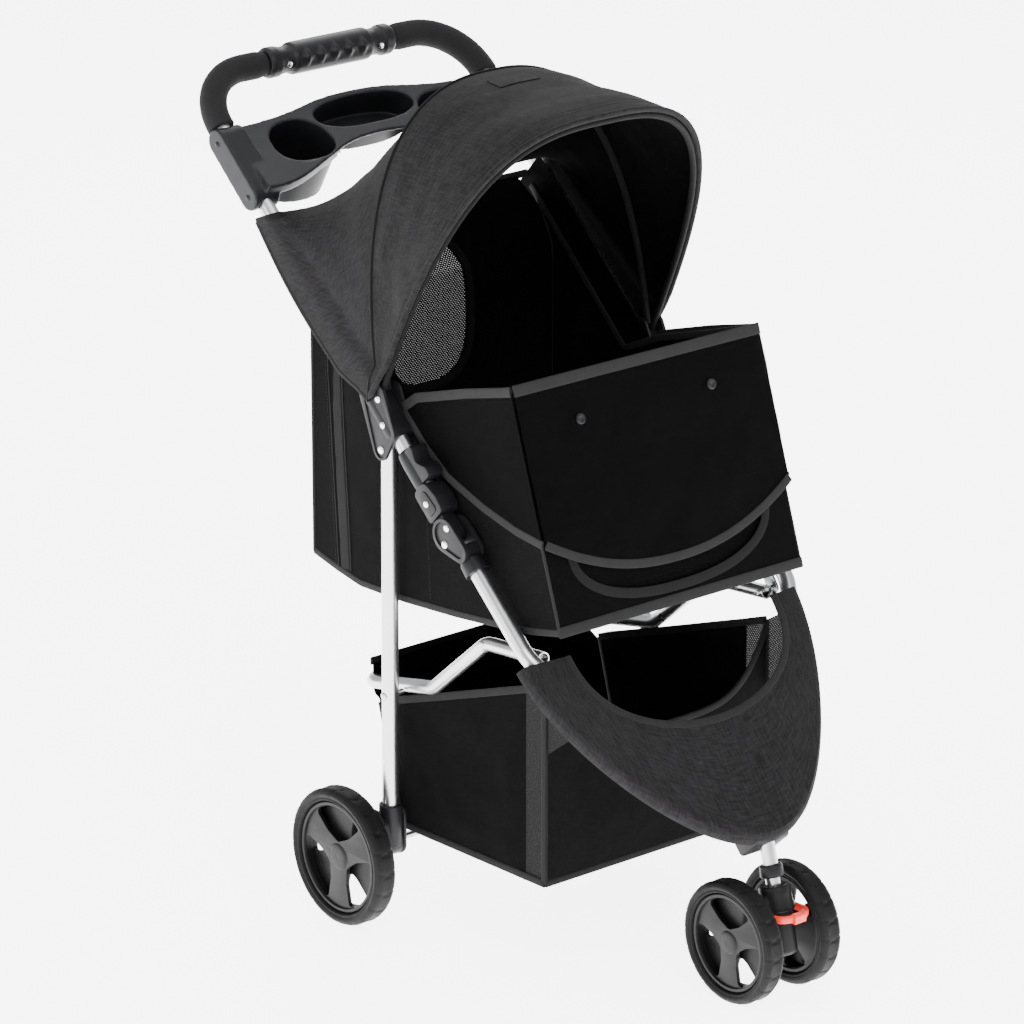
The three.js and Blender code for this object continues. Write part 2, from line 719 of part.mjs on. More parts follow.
// ---- wheels ----------------------------------------------------------------------------
// A tyre is a ring with a rounded tread, turned about X.
function tyreGeometry({ radius, rim, width }, segments) {
  const w = width / 2;
  const profile = [
    [rim + GAP, -w * 0.62],
    [rim + 4, -w * 0.9],
    [radius - 8, -w],
    [radius, -w * 0.45],
    [radius, w * 0.45],
    [radius - 8, w],
    [rim + 4, w * 0.9],
    [rim + GAP, w * 0.62],
    [rim + GAP, -w * 0.62],
  ].map(([r, h]) => new THREE.Vector2(r, h));
  return new THREE.LatheGeometry(profile, segments).rotateZ(-Math.PI / 2);
}

// One window between two spokes: radius as a share of the ring, and turn in radians.
const HUB_WINDOW = [
  [1, -0.78],
  [1, -0.39],
  [1, 0],
  [1, 0.39],
  [1, 0.78],
  [0.36, 0.42],
  [0.31, 0],
  [0.36, -0.42],
];

// A spoked hub: a rim ring, three broad spokes and a bore for the axle.
function hubGeometry({ rim }) {
  const face = circleShape(rim, 28);
  const ring = rim - 6;
  for (let k = 0; k < 3; k++) {
    const middle = (2 * Math.PI * k) / 3 - Math.PI / 6;
    const corners = [];
    for (const [radius, turn] of HUB_WINDOW) {
      const at = middle + turn;
      corners.push([ring * radius * Math.cos(at), ring * radius * Math.sin(at)]);
    }
    face.holes.push(outline(corners));
  }
  face.holes.push(circleShape(AXLE_RADIUS + GAP, 12));
  return sidePlate(face, -HUB_HALF, HUB_HALF);
}

function addWheel(name, side, size, segments) {
  const wheel = new THREE.Group();
  wheel.position.set(side * size.x, size.y, size.radius);
  stroller.add(wheel);
  const where = side > 0 ? "_left" : "_right";
  add(wheel, name + "_tyre" + where, tyreGeometry(size, segments), RUBBER());
  add(wheel, name + "_hub" + where, hubGeometry(size), PLASTIC());
}
for (const side of sides) {
  addWheel("rear", side, REAR_WHEEL, 30);
  addWheel("front", side, FRONT_WHEEL, 28);
}

// ---- front caster ----------------------------------------------------------------------
// The housing turns on the post and reaches back to the axle between the two front wheels.
const HOUSING_TOP = -55; // down the post
const HOUSING_LENGTH = 78;
const postPoint = (down) => ({
  y: POST_TOP.y - down * Math.sin(POST_LEAN),
  z: POST_TOP.z - down * Math.cos(POST_LEAN),
});
const housingTop = postPoint(-HOUSING_TOP);
const housingEnd = postPoint(-HOUSING_TOP + HOUSING_LENGTH);
const postBoreEnd = postPoint(POST_LENGTH + 1);
const armShape = beltOutline([
  [housingEnd.y + 8, housingEnd.z + 24, 10],
  [FRONT_WHEEL.y, FRONT_WHEEL.radius, 12],
]);
const housing = cut(
  join(
    rod([0, housingTop.y, housingTop.z], [0, housingEnd.y, housingEnd.z], 15, 20),
    rod([0, housingTop.y, housingTop.z], [0, postPoint(80).y, postPoint(80).z], 17.5, 20),
    sidePlate(armShape, -12, 12),
    crossRod(-27, 27, FRONT_WHEEL.y, FRONT_WHEEL.radius, 10, 16),
  ),
  rod([0, postPoint(40).y, postPoint(40).z], [0, postBoreEnd.y, postBoreEnd.z], POST_RADIUS + GAP, 14),
  crossRod(-40, 40, FRONT_WHEEL.y, FRONT_WHEEL.radius, AXLE_RADIUS + GAP),
);
add(stroller, "caster_housing", housing, PLASTIC());
add(
  stroller,
  "caster_axle",
  crossRod(-FRONT_WHEEL.x - 8, FRONT_WHEEL.x + 8, FRONT_WHEEL.y, FRONT_WHEEL.radius, AXLE_RADIUS, 12),
  STEEL(),
);
// The red swivel lock is a loop round the front of the housing, hinged at its two ends.
const LOOP_AT = postPoint(84);
const loopPath = new BentPath(
  [
    [-22, LOOP_AT.y + 8, LOOP_AT.z],
    [-22, LOOP_AT.y - 30, LOOP_AT.z + 2],
    [22, LOOP_AT.y - 30, LOOP_AT.z + 2],
    [22, LOOP_AT.y + 8, LOOP_AT.z],
  ],
  14,
  4,
);
add(stroller, "swivel_lock", tube(loopPath, 3.4, { sides: 8 }), RED());

// ---- seat frame ------------------------------------------------------------------------
const SEAT_HALF = 163;
const seatSide = (side) => [
  [side * SEAT_HALF, SEAT_PIVOT.y - 8, SEAT_PIVOT.z],
  [side * SEAT_HALF, -168, 366],
  [side * SEAT_HALF, -75, 286],
  [side * SEAT_HALF, 50, 258],
];
const seatPath = new BentPath([...seatSide(-1), ...seatSide(1).reverse()], 30, 2);
const seatTube = cut(
  tube(seatPath, 8, { bore: 6.6, sides: 8 }),
  ...sides.map((side) =>
    crossRod(side * 140, side * 185, SEAT_PIVOT.y, SEAT_PIVOT.z, PIN + GAP, 10),
  ),
);
add(stroller, "seat_frame", seatTube, ALUMINIUM());

// ---- cabin -----------------------------------------------------------------------------
const CABIN = {
  rearLow: [121, 398],
  sag: [38, 381],
  frontSag: [-218, 403],
  frontLow: [-304, 420],
  frontTop: [-220, 671],
  hinge: [-66, 622],
  hingeBack: [-8, 596],
  rearTop: [157, 752],
  rearBend: [121, 690],
};
const wallShape = outline([
  CABIN.rearLow,
  CABIN.rearBend,
  CABIN.rearTop,
  CABIN.hingeBack,
  CABIN.hinge,
  CABIN.frontTop,
  CABIN.frontLow,
  CABIN.frontSag,
  CABIN.sag,
]);
addPair(stroller, "cabin_side", sidePlate(wallShape, CABIN_HALF, CABIN_HALF + CLOTH), FABRIC);

// A wall that runs across the stroller, from its line in the side view.
function crossWall(line, half, thickness) {
  return sheet(
    line.map(([y, z]) => [new THREE.Vector3(-half, y, z), new THREE.Vector3(half, y, z)]),
    thickness,
  );
}
const inside = CABIN_HALF + CLOTH;
add(
  stroller,
  "cabin_rear",
  crossWall([[122, 398], [122, 690], [158, 752]], inside, CLOTH),
  FABRIC(),
);
add(
  stroller,
  "cabin_front",
  crossWall([[-305, 419], [-221.4, 671]], inside, -CLOTH),
  MESH_CLOTH(),
);
add(
  stroller,
  "cabin_bottom",
  crossWall([[120, 396.6], [38, 380], [-218, 402], [-303, 418]], inside, -CLOTH).translate(0, 0, -0.2),
  FABRIC(),
);
add(
  stroller,
  "floor_board",
  crossWall([[114, 402], [-288, 422.6]], CABIN_HALF - 4, 4),
  PLASTIC(),
);
add(
  stroller,
  "floor_cushion",
  crossWall([[110, 407.4], [-284, 427.8]], CABIN_HALF - 8, 24),
  FABRIC(),
);

// The front flap hangs from the rim and can be lifted.
const FLAP_LEAN = Math.atan2(84, 251);
const flapShape = new THREE.Shape();
flapShape.moveTo(-174, 0);
flapShape.lineTo(-174, -120);
flapShape.bezierCurveTo(-150, -196, -80, -218, 0, -218);
flapShape.bezierCurveTo(80, -218, 150, -196, 174, -120);
flapShape.lineTo(174, 0);
flapShape.closePath();
const flap = new THREE.ExtrudeGeometry(flapShape, {
  depth: CLOTH,
  bevelEnabled: false,
  curveSegments: 8,
});
const flapGroup = new THREE.Group();
flapGroup.position.set(0, -227.5, 672);
flapGroup.rotation.x = Math.PI / 2 - FLAP_LEAN;
stroller.add(flapGroup);
add(flapGroup, "front_flap", flap, MESH_CLOTH());

// ---- basket ----------------------------------------------------------------------------
const basketSide = outline([
  [20, 240],
  [-18, 106],
  [-264, 106],
  [-264, 340],
]);
addPair(stroller, "basket_side", sidePlate(basketSide, BASKET_HALF, BASKET_HALF + CLOTH), MESH_CLOTH);
const basketInside = BASKET_HALF - GAP;
add(
  stroller,
  "basket_rear",
  crossWall([[-18, 107], [20, 240]], basketInside, -CLOTH),
  FABRIC(),
);
add(
  stroller,
  "basket_front",
  crossWall([[-265, 106], [-265, 258]], BASKET_HALF + CLOTH, -CLOTH),
  FABRIC(),
);
add(
  stroller,
  "basket_floor",
  block([-basketInside, basketInside], [-264, -22], [102, 105.6]),
  FABRIC(),
);

// ---- apron -----------------------------------------------------------------------------
// A U of cloth in front of the lower front leg, open at the top.
const APRON_STEPS = 20;
const APRON_TOP = 12; // below the knee
const APRON_OFF = 11; // clear of the front of the tube
const apronOuter = (turn) => [
  -200 * Math.cos(turn) * (1 - 0.16 * Math.sin(turn) ** 2),
  APRON_TOP + 258 * Math.sin(turn) ** 1.25,
];
const apronInner = (turn) => [
  -150 * Math.cos(turn),
  APRON_TOP + 112 * Math.sin(turn) ** 0.9,
];
const apronRows = [apronOuter, apronInner].map((edge) => {
  const row = [];
  for (let k = 0; k <= APRON_STEPS; k++) {
    const [x, down] = edge((Math.PI * k) / APRON_STEPS);
    row.push(new THREE.Vector3(x, -down, APRON_OFF));
  }
  return row;
});
add(apronFrame, "apron", sheet(apronRows, -CLOTH), FABRIC());

export default stroller;
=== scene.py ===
"""The looks of a three-wheeled pet stroller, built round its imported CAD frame.

Shapes are worked out in millimetres in the stroller's own frame, whose y is 0 at the rear axle, and
become metres in the row frame when a piece is made. +Z is up and the stroller rolls towards -Y.
"""

import json
import math

import bmesh
import bpy
import numpy as np
from mathutils import Euler, Matrix, Vector, noise
from mathutils.geometry import tessellate_polygon

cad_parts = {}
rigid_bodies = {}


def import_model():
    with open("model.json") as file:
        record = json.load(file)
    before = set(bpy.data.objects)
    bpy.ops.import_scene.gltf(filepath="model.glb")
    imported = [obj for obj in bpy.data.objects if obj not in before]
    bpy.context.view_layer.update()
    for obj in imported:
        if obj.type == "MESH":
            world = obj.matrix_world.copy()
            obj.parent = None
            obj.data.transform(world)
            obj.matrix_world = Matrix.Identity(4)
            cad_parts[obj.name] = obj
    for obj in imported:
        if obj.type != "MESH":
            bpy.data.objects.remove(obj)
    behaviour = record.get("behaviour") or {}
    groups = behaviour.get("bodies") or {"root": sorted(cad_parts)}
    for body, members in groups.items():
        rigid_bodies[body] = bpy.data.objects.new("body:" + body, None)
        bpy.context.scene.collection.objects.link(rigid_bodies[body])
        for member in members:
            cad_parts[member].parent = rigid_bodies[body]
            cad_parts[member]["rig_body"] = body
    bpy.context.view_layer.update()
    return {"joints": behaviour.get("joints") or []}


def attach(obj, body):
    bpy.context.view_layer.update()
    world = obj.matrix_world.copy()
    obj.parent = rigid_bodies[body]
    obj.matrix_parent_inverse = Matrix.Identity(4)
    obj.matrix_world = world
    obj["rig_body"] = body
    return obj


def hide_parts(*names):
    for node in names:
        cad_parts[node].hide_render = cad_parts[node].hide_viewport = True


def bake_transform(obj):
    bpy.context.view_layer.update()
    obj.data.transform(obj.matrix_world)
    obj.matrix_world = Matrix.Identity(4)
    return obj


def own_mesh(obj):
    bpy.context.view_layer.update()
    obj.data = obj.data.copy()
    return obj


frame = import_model()
scene = bpy.context.scene
JOINTS = {j["name"]: j for j in frame["joints"]}
MM = 0.001
SIDES = {"left": 1, "right": -1}


def joint_point(name):
    """A joint's place in the side view: y from the rear axle and z, in millimetres."""
    _, y, z = JOINTS[name]["pos_m"]
    return y / MM - SHIFT, z / MM


# ---- driving dimensions, in millimetres -------------------------------------------------------
SHIFT = JOINTS["rear_wheel_left_spin"]["pos_m"][1] / MM
HALF_WIDTH = 190
TUBE_R = 9.5
TUBE_WALL = 1.4
SLEEVE_BORE = TUBE_R + 0.35
INNER, OUTER = 177, 203  # the planes that the plastic hardware lies between
SLOPE = math.atan(0.9)
SLOPE_AT = (0, -39, 590)
FOLD_S, FOLD_OFF = -142.8, -4.6
HANDLE_TOP = 475
HANDLE_CORNER = 68
FOAM_START = 404
GRIP_HALF = 90
REAR = {"radius": 80, "rim": 65, "width": 28.5, "x": 233.5, "y": 0}
FRONT = {"radius": 70, "rim": 56, "width": 27, "x": 41.8, "y": -441}
HUB_HALF = 10
POST_LEAN = math.radians(15)
POST_TOP = (0, -444, 184)
POST_LENGTH = 128
POST_R = 8.5
CLOTH = 2.2
CABIN_HALF = 173.5
BASKET_HALF = 160
KNEE = (0, -268, 590 + 0.9 * (-268 + 39))
APRON_TILT = math.atan2(204, 185)
LEG_AT = joint_point("leg_fold")
BOW_AT = joint_point("canopy_fold")
SEAT_AT = joint_point("seat_fold")
LINK_AT = (-32, 272)
FRONT_TILT = math.atan2(131, 299)
REAR_TILT = -math.atan2(51, 313)


# ---- frames of reference ----------------------------------------------------------------------
def turned(origin, angle):
    """A frame at origin, turned about X by angle."""
    return Matrix.Translation(origin) @ Matrix.Rotation(angle, 4, "X")


SLOPE_FRAME = turned(SLOPE_AT, SLOPE)  # local y runs up the slope and local z stands off it
TRAY_FRAME = SLOPE_FRAME @ turned((0, 350, 4), math.radians(30) - SLOPE)
APRON_FRAME = turned(KNEE, APRON_TILT)  # local y runs up to the knee
POST_FRAME = turned(POST_TOP, -POST_LEAN)  # local -z runs down the post


def on_slope(s, off):
    """The y and z of a point along and off the slope."""
    p = SLOPE_FRAME @ Vector((0, s, off))
    return p.y, p.z


# ---- parts: (points, faces, uvs) in millimetres -----------------------------------------------
def part(points, faces, uvs=None):
    points = np.asarray(points, float).reshape(-1, 3)
    if uvs is None:
        uvs = points[:, [1, 2]] * MM
    return points, faces, np.asarray(uvs, float)


def moved(a, matrix):
    """A part taken from a local frame into the stroller's frame."""
    m = np.array(matrix)
    return a[0] @ m[:3, :3].T + m[:3, 3], a[1], a[2]


def mirrored(a):
    """A part's mirror image on the other side of the stroller."""
    return a[0] * (-1, 1, 1), [face[::-1] for face in a[1]], a[2]


def sided(parts, side):
    return parts if side > 0 else [mirrored(a) for a in parts]


def bent(corners, radius, steps=14):
    """A line through corners whose bends are round."""
    c = [Vector(p) for p in corners]
    line = [c[0]]
    for before, here, after in zip(c, c[1:], c[2:]):
        back = (before - here).normalized()
        ahead = (after - here).normalized()
        half = back.angle(ahead) / 2
        centre = here + (back + ahead).normalized() * (radius / math.sin(half))
        reach = radius / math.tan(half)
        start, end = here + back * reach - centre, here + ahead * reach - centre
        for k in range(steps + 1):
            turn = start.normalized().slerp(end.normalized(), k / steps)
            line.append(centre + turn * radius)
    return line + [c[-1]]


def frames_along(line, up, closed=False):
    """The sideways and upward directions at each point of a line."""
    n = len(line)
    tangents = []
    for i in range(n):
        before = line[(i - 1) % n] if closed else line[max(i - 1, 0)]
        after = line[(i + 1) % n] if closed else line[min(i + 1, n - 1)]
        tangents.append((after - before).normalized())
    if isinstance(up, Vector):
        ups = [up]
        for a, b in zip(tangents, tangents[1:]):
            ups.append(a.rotation_difference(b) @ ups[-1])
    else:
        ups = [Vector(u) for u in up]
    result = []
    for t, u in zip(tangents, ups):
        side = t.cross(u).normalized()
        result.append((side, side.cross(t).normalized()))
    return result


def lengths_along(line):
    steps = [0.0] + [(b - a).length for a, b in zip(line, line[1:])]
    return np.cumsum(steps)


def sweep(line, section, up=Vector((0, 0, 1)), closed=False, scale=None):
    """A solid bar whose cross-section, (across, up) points, follows a line."""
    line = [Vector(p) for p in line]
    m, n = len(line), len(section)
    run = lengths_along(line)
    points, uvs = [], []
    girth = np.cumsum([0] + [math.dist(a, b) for a, b in zip(section, section[1:])])
    for i, (side, raised) in enumerate(frames_along(line, up, closed)):
        k = 1 if scale is None else scale(i / (m - 1))
        for (a, b), g in zip(section, girth):
            points.append(line[i] + side * a * k + raised * b * k)
            uvs.append((g * MM, run[i] * MM))
    faces = []
    for i in range(m if closed else m - 1):
        j = (i + 1) % m
        for a in range(n):
            b = (a + 1) % n
            faces.append((i * n + a, i * n + b, j * n + b, j * n + a))
    if not closed:
        faces.append(tuple(range(n))[::-1])
        faces.append(tuple((m - 1) * n + a for a in range(n)))
    return part(points, faces, uvs)


def polar(radius, turn):
    return radius * math.cos(turn), radius * math.sin(turn)


def circle(radius, sides=24):
    return [polar(radius, 2 * math.pi * k / sides) for k in range(sides)]


def signed_power(value, power):
    return math.copysign(abs(value) ** power, value)


def superellipse(a, b, power=3.0, sides=16):
    """A rounded rectangle, a by b half sizes."""
    return [(a * signed_power(c, 2 / power), b * signed_power(s, 2 / power)) for c, s in circle(1, sides)]


def tube(line, radius, wall=None, sides=28, up=Vector((1, 0.01, 0))):
    """A round bar, or a hollow tube with open ends when it has a wall."""
    outer = sweep(line, circle(radius, sides), up)
    if wall is None:
        return outer
    inner = sweep(line, circle(radius - wall, sides), up)
    n = len(outer[0])
    faces = outer[1][:-2] + [tuple(n + v for v in face)[::-1] for face in inner[1][:-2]]
    for first, flip in ((0, False), (n - sides, True)):
        for a in range(sides):
            b = (a + 1) % sides
            ring = (first + a, n + first + a, n + first + b, first + b)
            faces.append(ring[::-1] if flip else ring)
    return part(np.vstack([outer[0], inner[0]]), faces, np.vstack([outer[2], inner[2]]))


def pin(x0, x1, y, z, radius, sides=20):
    """A round bar along X."""
    return tube([Vector((x0, y, z)), Vector((x1, y, z))], radius, sides=sides, up=Vector((0, 0, 1)))


def lathe(profile, segments=40, at=(0, 0, 0), axis="X"):
    """A closed (radius, height) outline turned about an axis through a point."""
    n = len(profile)
    points, uvs, faces = [], [], []
    for k in range(segments):
        turn = 2 * math.pi * k / segments
        for r, h in profile:
            c, s = r * math.cos(turn), r * math.sin(turn)
            local = {"X": (h, c, s), "Y": (s, h, c), "Z": (c, s, h)}[axis]
            points.append([a + b for a, b in zip(local, at)])
            uvs.append((turn * r * MM, (h + r) * MM))
    for k in range(segments):
        for i in range(n):
            j = (i + 1) % n
            a, b = k * n, ((k + 1) % segments) * n
            faces.append((a + i, b + i, b + j, a + j))
    return part(points, faces, uvs)


def rivet(x, y, z, radius=4.2, height=2.2, out=1):
    """A domed rivet head that stands out along X from x."""
    profile = [(0.01, -1)]
    profile += [(radius, -1), (radius, 0.25 * height)]
    profile += [(radius * math.cos(a), height * (0.25 + 0.75 * math.sin(a))) for a in (0.35, 0.7, 1.05, 1.35)]
    profile += [(0.01, height)]
    return lathe([(r, h * out) for r, h in (profile if out > 0 else profile[::-1])], 24, (x, y, z))


def rounded(corners, steps=6):
    """An outline from corners (across, up, radius) whose corners are round."""
    n = len(corners)
    result = []
    for i, (a, b, radius) in enumerate(corners):
        here = Vector((a, b))
        back = (Vector(corners[i - 1][:2]) - here).normalized()
        ahead = (Vector(corners[(i + 1) % n][:2]) - here).normalized()
        half = back.angle(ahead) / 2
        if radius <= 0 or half > 1.55:
            result.append((a, b))
            continue
        centre = here + (back + ahead).normalized() * (radius / math.sin(half))
        start = here + back * (radius / math.tan(half)) - centre
        end = here + ahead * (radius / math.tan(half)) - centre
        sweep_angle = start.angle_signed(end)
        for k in range(steps + 1):
            turn = Matrix.Rotation(-sweep_angle * k / steps, 2)
            p = centre + turn @ start
            result.append((p.x, p.y))
    return result


def belt(discs, sides=48):
    """The outline of a belt drawn tight round discs (across, up, radius)."""
    points = sorted(
        (a + r * math.cos(2 * math.pi * k / sides), b + r * math.sin(2 * math.pi * k / sides))
        for a, b, r in discs
        for k in range(sides)
    )

    def chain(ordered):
        hull = []
        for p in ordered:
            while len(hull) > 1 and (
                (hull[-1][0] - hull[-2][0]) * (p[1] - hull[-2][1])
                - (hull[-1][1] - hull[-2][1]) * (p[0] - hull[-2][0])
            ) <= 1e-4:
                hull.pop()
            hull.append(p)
        return hull[:-1]

    return chain(points) + chain(points[::-1])


def plate(outline, x0, x1, holes=()):
    """An outline in a side view, as thick as x0 to x1, with holes right through."""
    loops = [list(outline)] + [list(h) for h in holes]
    flat = [p for loop in loops for p in loop]
    n = len(flat)
    points = [(x, a, b) for x in (x0, x1) for a, b in flat]
    if holes:
        cap = tessellate_polygon([[Vector((a, b, 0)) for a, b in loop] for loop in loops])
    else:
        cap = [tuple(range(n))]
    faces = []
    for face in cap:
        area = sum(
            flat[p][0] * flat[q][1] - flat[q][0] * flat[p][1]
            for p, q in zip(face, tuple(face[1:]) + (face[0],))
        )
        face = tuple(face) if area > 0 else tuple(face)[::-1]
        faces.append(tuple(n + v for v in face))
        faces.append(face[::-1])
    start = 0
    for number, loop in enumerate(loops):
        m = len(loop)
        area = sum(p[0] * q[1] - q[0] * p[1] for p, q in zip(loop, loop[1:] + loop[:1]))
        for k in range(m):
            a, b = start + k, start + (k + 1) % m
            side = (a, b, n + b, n + a)
            faces.append(side if (area > 0) == (number == 0) else side[::-1])
        start += m
    return part(points, faces)


def grid_normals(grid):
    """The unit normal at each point of a grid of points."""
    grid = np.asarray(grid, float)
    normal = np.cross(np.gradient(grid, axis=0), np.gradient(grid, axis=1))
    return normal / np.maximum(np.linalg.norm(normal, axis=2, keepdims=True), 1e-9)


def cloth(rows, thickness=CLOTH):
    """A sheet as a thin closed solid. rows is a grid of points on its middle face."""
    grid = np.asarray(rows, float)
    m, n, _ = grid.shape
    normal = grid_normals(grid)
    u = np.zeros((m, n))
    v = np.zeros((m, n))
    u[:, 1:] = np.cumsum(np.linalg.norm(np.diff(grid, axis=1), axis=2), axis=1)
    u -= u[:, n // 2][:, None]
    v[1:, :] = np.cumsum(np.linalg.norm(np.diff(grid, axis=0), axis=2), axis=0)
    v = np.repeat(v.mean(axis=1)[:, None], n, axis=1)
    uv = np.stack([u, v], axis=2).reshape(-1, 2) * MM
    points = np.vstack([(grid + normal * k * thickness / 2).reshape(-1, 3) for k in (1, -1)])
    ids = np.arange(m * n).reshape(m, n)
    low = ids + m * n
    faces = []
    for i in range(m - 1):
        for j in range(n - 1):
            faces.append((ids[i, j], ids[i + 1, j], ids[i + 1, j + 1], ids[i, j + 1]))
            faces.append((low[i, j], low[i, j + 1], low[i + 1, j + 1], low[i + 1, j]))
    for i in range(m - 1):
        faces.append((ids[i + 1, 0], ids[i, 0], low[i, 0], low[i + 1, 0]))
        faces.append((ids[i, n - 1], ids[i + 1, n - 1], low[i + 1, n - 1], low[i, n - 1]))
    for j in range(n - 1):
        faces.append((ids[0, j], ids[0, j + 1], low[0, j + 1], low[0, j]))
        faces.append((ids[m - 1, j + 1], ids[m - 1, j], low[m - 1, j], low[m - 1, j + 1]))
    return part(points, [tuple(int(v) for v in f) for f in faces], np.vstack([uv, uv]))


def ripple(p, scale, seed=0.0, stretch=(1, 1, 1)):
    """Smooth seeded noise from -1 to 1 at a point in millimetres."""
    q = Vector((p[0] * stretch[0], p[1] * stretch[1], p[2] * stretch[2])) / scale
    return noise.fractal(q + Vector((seed, 3.7 * seed, 1.3)), 0.7, 2.1, 3)


def each(normals, line):
    """One normal for each point of a line, from one for all of them or a list."""
    return [normals] * len(line) if isinstance(normals, Vector) else normals


def tape_on(line, normals, width=9, thick=1.6):
    """A flat binding tape along a line, lying against one normal or one for each point."""
    normals = each(normals, line)
    return sweep(line, superellipse(width / 2, thick / 2, 4, 14), up=normals)


def stitches(line, normals, pitch=4.0, length=2.6, radius=0.32, lift=0.0):
    """A run of short stitches along a line, as one part."""
    normals = [Vector(n) for n in each(normals, line)]
    line = [Vector(p) for p in line]
    run = lengths_along(line)

    def at(d):
        i = min(int(np.searchsorted(run, d, side="right")) - 1, len(line) - 2)
        t = (d - run[i]) / max(run[i + 1] - run[i], 1e-9)
        return line[i].lerp(line[i + 1], t) + normals[i] * lift, normals[i]

    ring = 5
    points, faces = [], []
    for k in range(int(run[-1] / pitch)):
        d = (k + 0.5) * pitch
        a, b = at(d - length / 2)[0], at(d + length / 2)[0]
        t = (b - a).normalized()
        side = t.cross(at(d)[1]).normalized()
        up = side.cross(t)
        start = len(points)
        for place, size in ((0, 0.35), (0.2, 1), (0.8, 1), (1, 0.35)):
            for r in range(ring):
                across, raised = polar(radius * size, 2 * math.pi * r / ring)
                points.append(a.lerp(b, place) + side * across + up * raised)
        for row in range(3):
            base = start + row * ring
            faces += [
                (base + r, base + (r + 1) % ring, base + ring + (r + 1) % ring, base + ring + r)
                for r in range(ring)
            ]
        faces.append(tuple(start + r for r in range(ring))[::-1])
        faces.append(tuple(start + 3 * ring + r for r in range(ring)))
    return part(points, faces, np.zeros((len(points), 2)))


# ---- pieces -----------------------------------------------------------------------------------
def to_object(name, parts):
    points = np.vstack([a[0] for a in parts])
    points[:, 1] += SHIFT
    faces, start = [], 0
    for a in parts:
        faces += [tuple(start + v for v in face) for face in a[1]]
        start += len(a[0])
    mesh = bpy.data.meshes.new(name)
    mesh.from_pydata((points * MM).tolist(), [], faces)
    uvs = np.vstack([a[2] for a in parts])
    layer = mesh.uv_layers.new(name="UVMap")
    corner_points = np.zeros(len(mesh.loops), np.int32)
    mesh.loops.foreach_get("vertex_index", corner_points)
    layer.data.foreach_set("uv", uvs[corner_points].astype(np.float32).ravel())
    piece = bpy.data.objects.new(name, mesh)
    scene.collection.objects.link(piece)
    return piece


def apply_modifiers(piece):
    graph = bpy.context.evaluated_depsgraph_get()
    mesh = bpy.data.meshes.new_from_object(piece.evaluated_get(graph))
    piece.modifiers.clear()
    piece.data = mesh


def outward(piece):
    """Turns every face of a closed piece to the outside."""
    bm = bmesh.new()
    bm.from_mesh(piece.data)
    bmesh.ops.recalc_face_normals(bm, faces=bm.faces)
    bm.to_mesh(piece.data)
    bm.free()


def dress(piece, material, body, replaces=(), slot=None):
    """Gives a finished mesh its material, its body and the CAD nodes that it stands for; its slot argument is
    not used.
    """
    piece.data.shade_smooth()
    piece.data.materials.clear()
    piece.data.materials.append(material)
    slot or SLOTS[material.name]
    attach(piece, body)
    if replaces:
        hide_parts(*replaces)


def make(name, parts, material, body, replaces=(), bevel=0, bevel_steps=3, sharp=38, slot=None):
    """One visible piece from its parts."""
    piece = to_object(name, parts)
    outward(piece)
    if bevel:
        m = piece.modifiers.new("edges", "BEVEL")
        m.width = bevel * MM
        m.segments = bevel_steps
        m.limit_method = "ANGLE"
        m.angle_limit = math.radians(32)
        m.use_clamp_overlap = True
    apply_modifiers(piece)
    dress(piece, material, body, replaces, slot)
    piece.data.set_sharp_from_angle(angle=math.radians(sharp))
    return piece


